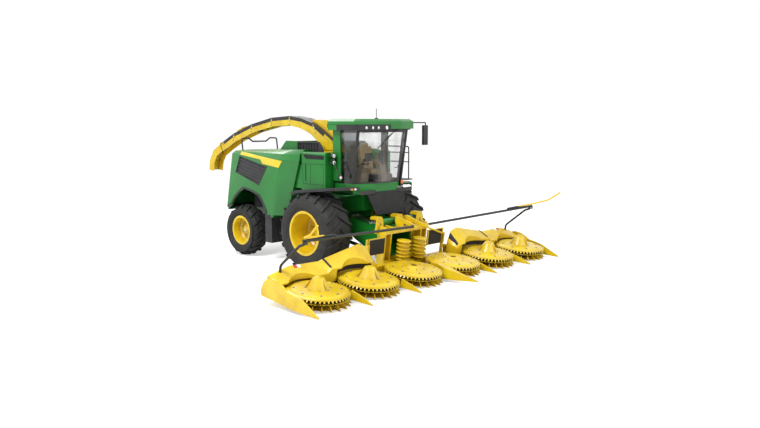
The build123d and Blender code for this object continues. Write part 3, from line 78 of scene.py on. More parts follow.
def finish(name, colour, drift, patch, grain, deep, dull, uneven, edge=0.0, soil=None, **sockets):
    """Surface whose colour drifts between two tones over patches, with a fine grain and uneven gloss.

    patch, grain, deep and edge are millimetres: the patches' size, the grain's size and depth, and how
    far an edge is softened. dull is the mean roughness. The corner colour, where one is given, is mixed
    into the base colour where faces meet: painted shade in corners and creases.
    """
    material, tree, shader, place = surface(name, **sockets)
    patches = add_node(tree, "ShaderNodeTexNoise", {"Scale": 1000 / patch, "Detail": 4.0},
                       {"Vector": (place, "Object")})
    spread = add_node(tree, "ShaderNodeMapRange", {"From Min": 0.35, "From Max": 0.65},
                      {"Value": (patches, 0)})
    tone = add_node(tree, "ShaderNodeMix", {6: hex_colour(colour), 7: hex_colour(drift)},
                    {0: (spread, 0)}, data_type="RGBA")
    # Ambient occlusion darkens the base colour toward the corner colour where faces meet: painted shade.
    if soil:
        corner = add_node(tree, "ShaderNodeAmbientOcclusion", {"Distance": 0.16}, samples=5)
        corner_shade_share = add_node(tree, "ShaderNodeMapRange",
                            {"From Min": 0.25, "From Max": 0.85, "To Min": 0.8, "To Max": 0.0},
                            {"Value": (corner, "AO")})
        tone = add_node(tree, "ShaderNodeMix", {7: hex_colour(soil)}, {0: (corner_shade_share, 0), 6: (tone, 2)},
                        data_type="RGBA")
    tree.links.new(tone.outputs[2], shader.inputs["Base Color"])
    gloss = add_node(tree, "ShaderNodeMapRange", {"To Min": dull - uneven, "To Max": dull + uneven},
                     {"Value": (patches, 0)})
    tree.links.new(gloss.outputs[0], shader.inputs["Roughness"])
    grains = add_node(tree, "ShaderNodeTexNoise", {"Scale": 1000 / grain, "Detail": 2.0},
                      {"Vector": (place, "Object")})
    relief = add_node(tree, "ShaderNodeBump", {"Strength": 0.7, "Distance": deep / 1000},
                      {"Height": (grains, 0)})
    if edge:
        rounded = add_node(tree, "ShaderNodeBevel", {"Radius": edge / 1000}, samples=4)
        tree.links.new(rounded.outputs[0], relief.inputs["Normal"])
    tree.links.new(relief.outputs[0], shader.inputs["Normal"])
    return material, tree, shader, place, tone, relief


def masked(parts, other_colour, limits):
    """Gives a finish a second colour where its object coordinates are past every limit.

    limits lists (axis, way, metres): over, under, or beyond on either side of zero.
    """
    material, tree, shader, place, tone, _ = parts
    axes = add_node(tree, "ShaderNodeSeparateXYZ", links={0: (place, "Object")})
    held = None
    for axis, way, limit in limits:
        value = (axes, axis)
        if way == "beyond":
            value = (add_node(tree, "ShaderNodeMath", links={0: value}, operation="ABSOLUTE"), 0)
        over = add_node(tree, "ShaderNodeMath", {1: limit}, {0: value},
                        operation="LESS_THAN" if way == "under" else "GREATER_THAN")
        held = over if held is None else add_node(
            tree, "ShaderNodeMath", links={0: (held, 0), 1: (over, 0)}, operation="MULTIPLY")
    second = add_node(tree, "ShaderNodeMix", {7: hex_colour(other_colour)}, {0: (held, 0), 6: (tone, 2)},
                      data_type="RGBA")
    tree.links.new(second.outputs[2], shader.inputs["Base Color"])
    return material


WAVES_PER_UNIT = 20 / math.tau  # what the wave texture draws at a scale of 1


def coil_lines(parts, centre, spacing, deep, along="RINGS"):
    """Adds moulded rings round the Y axis, or straight ribs across it, to a finish.

    spacing and deep are millimetres: from one line to the next, and from a line's foot to its crest.
    """
    material, tree, shader, place, _, relief = parts
    moved = add_node(tree, "ShaderNodeMapping", {"Location": tuple(-c for c in centre)},
                     {"Vector": (place, "Object")})
    facing = {"rings_direction": "Y"} if along == "RINGS" else {"bands_direction": "Y"}
    rings = add_node(tree, "ShaderNodeTexWave",
                     {"Scale": 1000 / spacing / WAVES_PER_UNIT, "Distortion": 0.0},
                     {"Vector": (moved, 0)}, wave_type=along, **facing)
    ribs = add_node(tree, "ShaderNodeBump", {"Strength": 0.8, "Distance": deep / 1000},
                    {"Height": (rings, 1), "Normal": (relief, 0)})
    tree.links.new(ribs.outputs[0], shader.inputs["Normal"])
    return material


# Places in metres: the axles in the frame, and the limits between two colours.
AXLE_X = 1.275
WHEELBASE = 3.21
FRONT_AXLE_Z = 1.01
REAR_AXLE_Z = 0.725
ANTENNA_FOOT_Z = 3.856
BAND_FOOT_Z = 3.4
BAND_START_X = 1.735
BAR_TIP_Y = 3.6
BAR_TIP_Z = 1.464
TINTED_Y = -0.868

# Sprayed enamel on steel and moulded panels: gloss under a clear skin, faint orange peel, and a darker
# green painted where faces meet as painted shade.
GREEN = dict(colour="187A2A", drift="146E25", patch=900, grain=14, deep=0.25, dull=0.3, uneven=0.06,
             edge=10, soil="083A12", Coat_Weight=0.3, Coat_Roughness=0.1)
green_enamel = finish("green_enamel", **GREEN)[0]
# The roof is the same, and black above the antenna's foot.
roof_enamel = masked(finish("roof_enamel", **GREEN), "1B1C1E", [("Z", "over", ANTENNA_FOOT_Z)])
# Enamel on the implement: the same spray, scuffed by stalks, with a darker tan painted where plates meet
# as painted shade.
yellow_enamel = finish("yellow_enamel", "E6C71C", "D3AF14", patch=420, grain=12, deep=0.3, dull=0.36,
                       uneven=0.1, edge=6, soil="80560A", Coat_Weight=0.35, Coat_Roughness=0.15)[0]
clean_yellow = finish("clean_yellow", "EACE1E", "E0C018", patch=700, grain=14, deep=0.2, dull=0.3,
                      uneven=0.05, edge=4, Coat_Weight=0.5, Coat_Roughness=0.08)[0]
# Moulded polypropylene: satin, with a leather grain that breaks up its highlights.
grained_plastic = finish("grained_plastic", "313033", "2A292C", patch=300, grain=5, deep=0.5, dull=0.5,
                         uneven=0.08, edge=4)[0]
# The roof's band is glossy black, and green behind BAND_START_X.
gloss_plastic = masked(finish("gloss_plastic", "1E1F22", "19191C", patch=400, grain=9, deep=0.1,
                              dull=0.22, uneven=0.04, edge=6, Coat_Weight=0.3),
                       GREEN["colour"], [("Z", "over", BAND_FOOT_Z), ("X", "under", BAND_START_X)])
dark_gap = finish("dark_gap", "0F1512", "131A16", patch=200, grain=6, deep=0.2, dull=0.8, uneven=0.05)[0]
# Powder-coated steel: even black with a fine pebble.
powder_coat = finish("powder_coat", "262A2A", "202424", patch=260, grain=4, deep=0.4, dull=0.42,
                     uneven=0.08, edge=3)[0]
# The crop bars are the same, with yellow tips.
bar_coat = masked(finish("bar_coat", "20262A", "1C2224", patch=260, grain=4, deep=0.4, dull=0.38,
                         uneven=0.08),
                  "EBC114", [("Y", "beyond", BAR_TIP_Y), ("Z", "over", BAR_TIP_Z)])
# Vulcanised tyre rubber: charcoal with a bloom, shallow rings moulded in the side walls, and a darker
# black painted where faces meet as painted shade.
RUBBER = dict(colour="252524", drift="1E1E1E", patch=160, grain=9, deep=0.8, dull=0.72, uneven=0.1,
              edge=9, soil="101010")
front_rubber = coil_lines(finish("front_tyre_rubber", **RUBBER), (AXLE_X, 0.0, FRONT_AXLE_Z),
                          spacing=82.1, deep=1.4)
rear_rubber = coil_lines(finish("rear_tyre_rubber", **RUBBER), (AXLE_X - WHEELBASE, 0.0, REAR_AXLE_Z),
                         spacing=69.5, deep=1.2)
# Fabric-backed belting: matt, with the cloth's ribs pressed through.
belting = coil_lines(finish("belting", "1F2123", "1A1B1E", patch=200, grain=6, deep=0.6, dull=0.7,
                            uneven=0.08, edge=3),
                     (0, 0, 0), spacing=44.2, deep=0.8, along="BANDS")
# Woven upholstery: a tan cloth, its fine threads drawn as wide ribs so that they show from outside.
seat_weave = coil_lines(finish("seat_weave", "B59C72", "A18860", patch=120, grain=8, deep=1.2,
                               dull=0.85, uneven=0.05, Sheen_Weight=0.4, Sheen_Roughness=0.5),
                        (0, 0, 0), spacing=25.3, deep=0.8, along="BANDS")
cab_trim = finish("moulded_cab_trim", "6F6454", "625848", patch=260, grain=5, deep=0.6, dull=0.6,
                  uneven=0.08, edge=5)[0]
cab_carpet = finish("needled_carpet", "4A4238", "3F382F", patch=90, grain=4, deep=2.5, dull=0.92,
                    uneven=0.04)[0]
# Hard chrome on ground steel: near mirror, fine marks.
hard_chrome = finish("hard_chrome", "D8DADC", "C9CCCF", patch=120, grain=2, deep=0.05, dull=0.12,
                     uneven=0.04, Metallic=1.0)[0]
zinc_steel = finish("zinc_plated_steel", "B9BAB4", "A7A89F", patch=60, grain=3, deep=0.15, dull=0.36,
                    uneven=0.08, Metallic=0.9)[0]
cast_iron = finish("cast_iron", "44484A", "383C3E", patch=220, grain=7, deep=1.2, dull=0.7,
                   uneven=0.1)[0]
knife_steel = finish("worn_knife_steel", "6E6A61", "4E4A43", patch=80, grain=5, deep=0.3, dull=0.45,
                     uneven=0.12, Metallic=0.8)[0]
# Toughened glass: clear, a faint green in its depth.
cab_glazing, glass_tree, glazing, glass_place = surface("toughened_glass", Roughness=0.02, IOR=1.5,
                                                        Transmission_Weight=1.0)
# The right side pane, which alone lies beyond TINTED_Y, is tinted grey.
CLEAR_ALPHA = 0.14
TINTED_ALPHA = 0.7
glass_axes = add_node(glass_tree, "ShaderNodeSeparateXYZ", links={0: (glass_place, "Object")})
tinted = add_node(glass_tree, "ShaderNodeMath", {1: TINTED_Y}, {0: (glass_axes, "Y")},
                  operation="LESS_THAN")
glass_tone = add_node(glass_tree, "ShaderNodeMix", {6: hex_colour("DCE9E3"), 7: hex_colour("565C5E")},
                      {0: (tinted, 0)}, data_type="RGBA")
glass_tree.links.new(glass_tone.outputs[2], glazing.inputs["Base Color"])
glass_share = add_node(glass_tree, "ShaderNodeMapRange", {"To Min": CLEAR_ALPHA, "To Max": TINTED_ALPHA},
                       {"Value": (tinted, 0)})
glass_tree.links.new(glass_share.outputs[0], glazing.inputs["Alpha"])
# Moulded acrylic lenses over bright reflectors.
clear_lens = finish("clear_lens", "F4F6F4", "E3E7E8", patch=30, grain=9, deep=0.8, dull=0.12,
                    uneven=0.04, Coat_Weight=0.8)[0]
amber_lens = finish("amber_lens", "E98B2A", "DC7418", patch=30, grain=9, deep=0.8, dull=0.15,
                    uneven=0.04, Coat_Weight=0.8)[0]
red_lens = finish("red_lens", "C22A22", "A81E18", patch=30, grain=9, deep=0.8, dull=0.15, uneven=0.04,
                  Coat_Weight=0.8)[0]
mirror_silver = finish("mirror_silver", "DDE2E3", "D3D9DB", patch=400, grain=30, deep=0.01, dull=0.04,
                       uneven=0.01, Metallic=1.0)[0]

finish_of_slot = {
    "green_paint": green_enamel, "yellow_paint": yellow_enamel, "dark_plastic": grained_plastic,
    "black_steel": powder_coat, "tyre_rubber": front_rubber, "flap_rubber": belting,
    "window_glass": cab_glazing, "seat_fabric": seat_weave, "cylinder_steel": hard_chrome,
    "cast_housing": cast_iron,
}
finish_of_node = {
    "cab_roof": roof_enamel, "rear_tyre_left": rear_rubber, "rear_tyre_right": rear_rubber,
    "bar_left": bar_coat, "bar_right": bar_coat, "cab_fittings": gloss_plastic,
}
for part in frame["record"]["subparts"]:
    node_name = part["node"]
    slot_finish = finish_of_slot[part["material_slot"]]
    nodes[node_name].data.materials.clear()
    nodes[node_name].data.materials.append(finish_of_node.get(node_name, slot_finish))

# Shapes

IN_AXLE_FRAME = Matrix.Translation((AXLE_X, 0, 0))
HEADER_X = 2.73
HEADER_Z = 0.345
HEADER_TILT = math.radians(7.1)
IN_HEADER = Matrix.Translation((HEADER_X + AXLE_X, 0, HEADER_Z)) @ Matrix.Rotation(HEADER_TILT, 4, "Y")
SHARP_ANGLE = math.radians(38)  # faces that meet at more than this keep a crisp edge
# A washer's radius and a bolt head's corner radius, as shares of its width across flats.
WASHER_SHARE = 0.95
CORNER_SHARE = 0.577


def at(x, y, z):
    """Point given in millimetres from the front axle, in the frame's metres."""
    return Vector((x / 1000 + AXLE_X, y / 1000, z / 1000))


class Form:
    """Mesh built from rings of points, which are millimetres in the frame of its place."""

    def __init__(self, place=IN_AXLE_FRAME):
        self.place = place
        self.points = []
        self.faces = []

    def put(self, points, faces):
        start = len(self.points)
        self.points += [self.place @ (Vector(p) / 1000) for p in points]
        self.faces += [[start + i for i in face] for face in faces]
        return self

    def rings(self, rings, capped=True, looped=False):
        """Skin over closed rings that have the same number of points."""
        count = len(rings[0])
        faces = []
        for k in range(len(rings) if looped else len(rings) - 1):
            a, b = k * count, (k + 1) % len(rings) * count
            faces += [(a + i, a + (i + 1) % count, b + (i + 1) % count, b + i) for i in range(count)]
        if capped and not looped:
            last = (len(rings) - 1) * count
            faces += [tuple(reversed(range(count))), tuple(range(last, last + count))]
        return self.put([p for ring in rings for p in ring], faces)

    def slab(self, outline, axis, low, high):
        """Outline in the other two axes, filled along one axis."""
        order = {
            "x": lambda a, b, h: (h, a, b),
            "y": lambda a, b, h: (a, h, b),
            "z": lambda a, b, h: (a, b, h),
        }[axis]
        return self.rings([[order(a, b, h) for a, b in outline] for h in (low, high)])

    def block(self, x, y, z):
        return self.slab([(x[0], y[0]), (x[1], y[0]), (x[1], y[1]), (x[0], y[1])], "z", *z)

    def turned(self, centre, along, profile, sides=24):
        """Profile of (radius, distance) pairs turned about a line."""
        along = Vector(along).normalized()
        across = along.orthogonal().normalized()
        third = along.cross(across)
        rings = []
        for radius, distance in profile:
            ring = []
            for i in range(sides):
                turn = math.tau * i / sides
                out = across * math.cos(turn) + third * math.sin(turn)
                ring.append(Vector(centre) + along * distance + out * radius)
            rings.append(ring)
        return self.rings(rings)

    def tube(self, points, radius, sides=10):
        """Round bar through points, its corners mitred."""
        points = [Vector(p) for p in points]
        rings = []
        across = None
        for i, point in enumerate(points):
            before = (point - points[i - 1]).normalized() if i else (points[1] - point).normalized()
            after = (points[i + 1] - point).normalized() if i < len(points) - 1 else before
            along = (before + after).normalized()
            across = along.orthogonal() if across is None else across - along * across.dot(along)
            across.normalize()
            third = along.cross(across)
            ring = []
            for k in range(sides):
                turn = math.tau * k / sides
                ring.append(point + (across * math.cos(turn) + third * math.sin(turn)) * radius)
            rings.append(ring)
        return self.rings(rings)

    def hexagon(self, centre, along, across_flats, height):
        """Bolt head with its washer."""
        washer = across_flats * WASHER_SHARE
        corner = across_flats * CORNER_SHARE
        self.turned(centre, along, [(washer, 0), (washer, height * 0.22)], sides=16)
        head = [(corner, height * 0.2), (corner, height * 0.85), (across_flats * 0.45, height)]
        return self.turned(centre, along, head, sides=6)


def rounded_path(points, bend, steps=4):
    """Line through points with each inner corner turned into a short curve."""
    points = [Vector(p) for p in points]
    line = [points[0]]
    for before, corner, after in zip(points, points[1:], points[2:]):
        start = corner + (before - corner).normalized() * bend
        end = corner + (after - corner).normalized() * bend
        for i in range(steps + 1):
            t = i / steps
            line.append(start * (1 - t) ** 2 + corner * 2 * t * (1 - t) + end * t * t)
    return line + [points[-1]]


def add_piece(name, form, body, material, round_mm=0.0):
    """Object made of a form, riding on a body, its edges rounded by a bevel where round_mm is given."""
    mesh = bpy.data.meshes.new(name)
    mesh.from_pydata([tuple(p) for p in form.points], [], form.faces)
    tidy = bmesh.new()
    tidy.from_mesh(mesh)
    bmesh.ops.recalc_face_normals(tidy, faces=tidy.faces)
    tidy.to_mesh(mesh)
    tidy.free()
    mesh.polygons.foreach_set("use_smooth", [True] * len(mesh.polygons))
    mesh.set_sharp_from_angle(angle=SHARP_ANGLE)
    mesh.materials.append(material)
    made = bpy.data.objects.new(name, mesh)
    bpy.context.scene.collection.objects.link(made)
    if round_mm:
        bevel = made.modifiers.new("rounded_edges", "BEVEL")
        bevel.width = round_mm / 1000
        bevel.segments = 2
        bevel.limit_method = "ANGLE"
        bevel.harden_normals = True
    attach(made, body)
    return made


def tree_of(*names):
    """Search tree over the faces of CAD nodes."""
    points = []
    faces = []
    for name in names:
        mesh = nodes[name].data
        start = len(points)
        points += [v.co.copy() for v in mesh.vertices]
        faces += [[start + i for i in face.vertices] for face in mesh.polygons]
    return BVHTree.FromPolygons(points, faces)


RAY_BACK = 5.0  # metres outside the surface from which it is looked for
LINE_END = 0.99999  # the last share of a line that still lies in its last run


def laid_on(form, tree, line_a, line_b, toward, proud, steps, rows=2, sunk=3.0):
    """Adds a thin skin that lies on a surface between two lines of points, met along one direction.

    proud and sunk are how many millimetres the skin stands over the surface and reaches into it.
    """
    toward = Vector(toward)

    def along(line, t):
        spot = min(t, LINE_END) * (len(line) - 1)
        return at(*line[int(spot)]).lerp(at(*line[int(spot) + 1]), spot - int(spot))

    outer = []
    for i in range(steps + 1):
        for j in range(rows + 1):
            spot = along(line_a, i / steps).lerp(along(line_b, i / steps), j / rows)
            hit = tree.ray_cast(spot - toward * RAY_BACK, toward)[0]
            outer.append(hit or spot)
    count = len(outer)
    wide = rows + 1
    start = len(form.points)
    form.points += [p - toward * proud / 1000 for p in outer]
    form.points += [p + toward * sunk / 1000 for p in outer]
    faces = []
    for i in range(steps):
        for j in range(rows):
            a, b = i * wide + j, (i + 1) * wide + j
            faces += [(a, a + 1, b + 1, b), (a + count, b + count, b + 1 + count, a + 1 + count)]
        for a, b in ((i * wide, (i + 1) * wide), (i * wide + rows, (i + 1) * wide + rows)):
            faces.append((a, b, b + count, a + count))
    for j in range(rows):
        for a in (j, steps * wide + j):
            faces.append((a, a + 1, a + 1 + count, a + count))
    form.faces += [[start + i for i in face] for face in faces]
    return form


SIDES = (("right", -1), ("left", 1))

# Body sides: yellow strip, grille surround and panel gaps

body_tree = tree_of("body_sides", "hood", "grilles", "mid_body")
strip_top = [(-3330, 2950), (-2230, 2852), (-2120, 2842), (-1320, 2776), (-1200, 2765)]
strip_low = [(-3330, 2866), (-2230, 2765), (-2120, 2655), (-1320, 2582), (-1215, 2745)]
grille_line = [(-3330, 2800), (-2250, 2620), (-1920, 2580), (-2310, 2100), (-3500, 2370), (-3330, 2800)]
gap_lines = [  # panel gaps on the middle body, as (x, z) runs
    [(-700, 2700), (-690, 2190), (560, 2190)],
    [(-400, 2705), (-400, 2190)],
    [(20, 2705), (110, 2600), (110, 2190)],
    [(-700, 2700), (165, 2712)],
]
GRILLE_MIDDLE = (-2660, 2490)
SURROUND_SCALE = 1.045
SURROUND_RISE = 1.2  # how many times that growth is added again in height
GAP_HALF = 5
for side_name, side in SIDES:
    inward = (0, -side, 0)
    strip = laid_on(Form(), body_tree, [(x, 0, z) for x, z in strip_top],
                    [(x, 0, z) for x, z in strip_low], inward, proud=7, steps=60, rows=4)
    add_piece("side_strip_" + side_name, strip, "chassis", clean_yellow)
    middle_x, middle_z = GRILLE_MIDDLE
    rim_lines = []
    for scale in (1.0, SURROUND_SCALE):
        scale_z = scale + (scale - 1) * SURROUND_RISE
        rim_lines.append([(middle_x + (x - middle_x) * scale, 0, middle_z + (z - middle_z) * scale_z)
                          for x, z in grille_line])
    surround = laid_on(Form(), body_tree, rim_lines[0], rim_lines[1], inward, proud=10, steps=80, rows=2)
    add_piece("grille_surround_" + side_name, surround, "chassis", grained_plastic)
    gaps = Form()
    for run in gap_lines:
        for (x0, z0), (x1, z1) in zip(run, run[1:]):
            wide = Vector((z1 - z0, x0 - x1)).normalized() * GAP_HALF
            laid_on(gaps, body_tree, [(x0 - wide.x, 0, z0 - wide.y), (x1 - wide.x, 0, z1 - wide.y)],
                    [(x0 + wide.x, 0, z0 + wide.y), (x1 + wide.x, 0, z1 + wide.y)],
                    inward, proud=1.2, steps=12, rows=1)
    add_piece("panel_gaps_" + side_name, gaps, "chassis", dark_gap)
    # A panel closes the joint between the two bodies, and a liner with a shelf closes the wheel house. The
    # liner is dark plastic that stands for the shadow in the wheel house: painted shade.
    closing_line = [(-742, 2690), (-742, 2062), (-1040, 2062), (-800, 2690)]
    closing = Form().slab(closing_line, "y", side * 1172, side * 1188)
    add_piece("joint_panel_" + side_name, closing, "chassis", green_enamel)
    liner_plate = [(-744, 2075), (-744, 1420), (-1340, 1420), (-1040, 2075)]
    wheel_house = Form().slab(liner_plate, "y", side * 940, side * 952)
    wheel_house.block((-1030, -744), sorted((side * 950, side * 1186)), (2060, 2074))
    add_piece("wheel_house_" + side_name, wheel_house, "chassis", grained_plastic)

# Lamps and reflectors


def lens(form, centre, along, radius, deep=10):
    """Domed round lens."""
    dome = [(radius, -6), (radius, 2), (radius * 0.8, deep * 0.7), (radius * 0.4, deep),
            (1, deep * 1.05)]
    return form.turned(centre, along, dome, sides=24)


roof_lenses = Form()
for x, y, radius in ((1226, -790, 34), (1262, -600, 34), (1290, -430, 34), (1297, -140, 46)):
    lens(roof_lenses, (x + 3, y, 3634), (1, 0, 0), radius)
add_piece("roof_lamp_lenses", roof_lenses, "chassis", clear_lens)
cluster_lenses = Form()
for x, y, z, radius in ((351, -1060, 2760, 48), (351, -1060, 2930, 48), (621, -1090, 2400, 42)):
    lens(cluster_lenses, (x, y, z), (1, 0, 0), radius)
add_piece("side_lamp_lenses", cluster_lenses, "chassis", clear_lens)
marker = Form().slab([(600, 2185), (680, 2185), (680, 2282), (600, 2282)], "x", 1100, 1116)
add_piece("marker_lamp_lens", marker, "chassis", amber_lens, round_mm=5)
lip_tree = tree_of("arch_lips", "mid_body", "cab_floor")
LIP_Z = 2010  # height of the mudguard's lip over the front axle, and its rise toward the front
LIP_RISE = 0.12
for side_name, side in SIDES:
    amber, white = Form(), Form()
    for form, x, wide in ((amber, 905, 70), (amber, 1010, 40), (white, 1075, 34)):
        z = LIP_Z + LIP_RISE * x
        laid_on(form, lip_tree, [(x, side * 1000, z - 22), (x + wide, side * 1000, z - 20)],
                [(x, side * 1000, z + 20), (x + wide, side * 1000, z + 22)],
                (0, -side, 0), proud=9, steps=2, rows=1)
    add_piece("fender_lamps_amber_" + side_name, amber, "chassis", amber_lens)
    add_piece("fender_lamps_white_" + side_name, white, "chassis", clear_lens)
tail_tree = tree_of("tail_panel", "body_sides", "grilles")
TAIL_LAMP_Y = (860, 1020)
TAIL_BASE_RIM = 15
TAIL_BASE_Z = (1355, 1675)
for side_name, side in SIDES:
    for lens_name, material, z0, z1 in (("stop", red_lens, 1560, 1660), ("turn", amber_lens, 1450, 1545),
                                        ("reverse", clear_lens, 1370, 1435)):
        plate = laid_on(Form(), tail_tree, [(0, side * y, z0) for y in TAIL_LAMP_Y],
                        [(0, side * y, z1) for y in TAIL_LAMP_Y], (1, 0, 0), proud=26, steps=6, rows=3)
        add_piece("tail_lamp_" + lens_name + "_" + side_name, plate, "chassis",
                  material, round_mm=5)
    base_y = (TAIL_LAMP_Y[0] - TAIL_BASE_RIM, TAIL_LAMP_Y[1] + TAIL_BASE_RIM)
    low_line, top_line = ([(0, side * y, z) for y in base_y] for z in TAIL_BASE_Z)
    surround = laid_on(Form(), tail_tree, low_line, top_line, (1, 0, 0), proud=14, steps=6, rows=3)
    add_piece("tail_lamp_base_" + side_name, surround, "chassis", grained_plastic,
              round_mm=4)

beam = Form().block((-4236, -4078), (-1040, 1040), (1236, 1328))
add_piece("tail_beam", beam, "chassis", powder_coat, round_mm=8)

# Cab: glass edges, wiper, mirror, lining and seat

glass_tree = tree_of("cab_glass")
BAND_CORNERS_Y = (-838, -402, 402, 838)
edge_bands = Form()
for z0, z1 in ((2243, 2278), (3528, 3568)):
    laid_on(edge_bands, glass_tree, [(1200, y, z0) for y in BAND_CORNERS_Y],
            [(1200, y, z1) for y in BAND_CORNERS_Y], (-1, 0, 0), proud=3, steps=30, rows=1)
add_piece("windscreen_edge_bands", edge_bands, "chassis", grained_plastic)

SCREEN_FOOT_X = 1140
SCREEN_FOOT_Z = 2240
SCREEN_LEAN = 65 / 1330


def screen_x(z):
    """Front face of the windscreen's middle at a height."""
    return SCREEN_FOOT_X + (z - SCREEN_FOOT_Z) * SCREEN_LEAN


wiper = Form()
wiper.turned((screen_x(3590) + 4, 330, 3590), (1, 0, 0), [(30, 0), (30, 20), (18, 30)], sides=14)
wiper_arm = [(screen_x(3590) + 26, 330, 3590), (screen_x(3420) + 30, -10, 3420),
             (screen_x(3300) + 24, -150, 3310)]
wiper.tube(wiper_arm, radius=11, sides=8)
wiper.slab([(150, 3500), (165, 3482), (-360, 3120), (-375, 3138)],
           "x", screen_x(3300) + 6, screen_x(3300) + 26)
add_piece("windscreen_wiper", wiper, "chassis", powder_coat, round_mm=2)
mirror_face = Form().slab([(1578, 3185), (1722, 3185), (1722, 3668), (1578, 3668)], "x", 994, 1001)
add_piece("mirror_glass", mirror_face, "chassis", mirror_silver, round_mm=3)
LINING_Y = 846
LINING_BACK_X = (242, 268)
lining = Form()
for z0, z1 in ((2242, 2796), (3500, 3566)):
    lining.slab([(-LINING_Y, z0), (LINING_Y, z0), (LINING_Y, z1), (-LINING_Y, z1)], "x", *LINING_BACK_X)
lining.slab([(270, -LINING_Y), (1036, -LINING_Y), (1180, -396), (1180, 396), (1036, LINING_Y),
             (270, LINING_Y)], "z", 3556, 3566)
for side in (-1, 1):
    lining.slab([(268, side * LINING_Y), (268, side * 790), (320, side * LINING_Y)], "z", 2242, 3556)
add_piece("cab_lining", lining, "chassis", cab_trim, round_mm=6)
carpet = Form()
carpet.slab([(262, -836), (838, -836), (1086, -376), (1086, 376), (838, 836), (262, 836)],
            "z", 2050, 2066)
well_line = [(262, -838), (838, -838), (1088, -378), (1088, 378), (838, 838), (262, 838)]
CARPET_THICK = 12
for (x0, y0), (x1, y1) in zip(well_line, well_line[1:]):
    away = Vector((y0 - y1, x1 - x0)).normalized() * CARPET_THICK
    carpet.slab([(x0, y0), (x1, y1), (x1 + away.x, y1 + away.y), (x0 + away.x, y0 + away.y)],
                "z", 2060, 2244)
add_piece("cab_carpet", carpet, "chassis", cab_carpet)
consoles = Form()
consoles.slab([(360, 2100), (860, 2100), (900, 2500), (1010, 2640), (990, 2690), (700, 2640),
               (360, 2600)], "y", -640, -372)
consoles.slab([(360, 2066), (760, 2066), (780, 2400), (720, 2440), (360, 2440)], "y", 400, 640)
consoles.slab([(955, 2066), (1075, 2066), (1060, 2640), (1000, 2760), (930, 2760), (960, 2620)],
              "y", -105, 105)
add_piece("cab_consoles", consoles, "chassis", cab_trim, round_mm=22)
screens = Form()
screens.slab([(-560, 2790), (-330, 2800), (-330, 3010), (-560, 3000)], "x", 935, 962)
screens.tube([(950, -470, 2650), (955, -460, 2860)], radius=14)
screens.slab([(-600, 2720), (-400, 2720), (-400, 2745), (-600, 2745)], "x", 760, 960)
screens.tube([(700, -420, 2640), (720, -420, 2760), (760, -420, 2800)], radius=18)
screens.turned((770, -420, 2815), (0.3, 0, 1), [(18, -30), (34, -10), (36, 20), (20, 44)], sides=16)
add_piece("cab_screen_and_stick", screens, "chassis", grained_plastic, round_mm=6)
FOLDS = 9
FOLD_PITCH = 44
BELLOWS_X = 610
BELLOWS_FOOT_Z = 2068
bellows_rings = []
for k in range(FOLDS):
    half = (200, 172)[k % 2]
    corners = ((-half, -half), (half, -half), (half, half), (-half, half))
    fold_z = BELLOWS_FOOT_Z + k * FOLD_PITCH
    bellows_rings.append([(BELLOWS_X + x, y * 0.72, fold_z) for x, y in corners])
bellows = Form().rings(bellows_rings)
add_piece("seat_bellows", bellows, "chassis", belting, round_mm=10)

# A pad's shape: shares of its half thickness or half width, and seam depths in millimetres.
EDGE_HEIGHT = 0.62
BACK_SHARE = 0.8
SIDE_PULL = 0.03
GROOVE_WIDE = 0.045
GROOVE_DEEP = 9
EDGE_SEAM_AT = 0.62
EDGE_SEAM_WIDE = 0.05
EDGE_SEAM_DEEP = 8


def pillow(name, centre, size, lean, grooves):
    """Crowned pad: thick in the middle, sides pulled in between the corners, sewn grooves across it.

    u and v run from -1 to 1 along and across the pad. grooves lists where sewn channels cross u.
    """
    steps = 26
    leaning = Matrix.Rotation(math.radians(lean), 4, "Y")
    form = Form(IN_AXLE_FRAME @ Matrix.Translation(Vector(centre) / 1000) @ leaning)
    long, wide, thick = size
    points = []
    for side_face in (1, -1):
        for i in range(steps + 1):
            u = -1 + 2 * i / steps
            for j in range(steps + 1):
                v = -1 + 2 * j / steps
                full = (1 - abs(u) ** 5) * (1 - abs(v) ** 5)
                if side_face > 0:
                    crown = EDGE_HEIGHT + (1 - EDGE_HEIGHT) * (1 - u * u) * (1 - v * v)
                    height = thick / 2 * full ** 0.3 * crown
                    dip = sum(math.exp(-((u - g) / GROOVE_WIDE) ** 2) for g in grooves)
                    edge_dip = math.exp(-((abs(v) - EDGE_SEAM_AT) / EDGE_SEAM_WIDE) ** 2)
                else:
                    height = -thick / 2 * full ** 0.25 * BACK_SHARE
                    dip = edge_dip = 0
                pull_u = 1 - SIDE_PULL * (1 - v * v) * abs(u) ** 6
                pull_v = 1 - SIDE_PULL * (1 - u * u) * abs(v) ** 6
                points.append((long / 2 * u * pull_u, wide / 2 * v * pull_v,
                               height - GROOVE_DEEP * dip - EDGE_SEAM_DEEP * edge_dip * full))
    faces = []
    wide_count = steps + 1
    half = wide_count * wide_count
    for base, turn in ((0, 1), (half, -1)):
        for i in range(steps):
            for j in range(steps):
                a = base + i * wide_count + j
                quad = (a, a + 1, a + 1 + wide_count, a + wide_count)
                faces.append(quad[::turn])
    form.put(points, faces)
    made = add_piece(name, form, "chassis", seat_weave)
    weld = bmesh.new()
    weld.from_mesh(made.data)
    bmesh.ops.remove_doubles(weld, verts=weld.verts, dist=0.0015)
    bmesh.ops.recalc_face_normals(weld, faces=weld.faces)
    weld.to_mesh(made.data)
    weld.free()
    subdivided = made.modifiers.new("smooth_form", "SUBSURF")
    subdivided.levels = subdivided.render_levels = 1
    return made


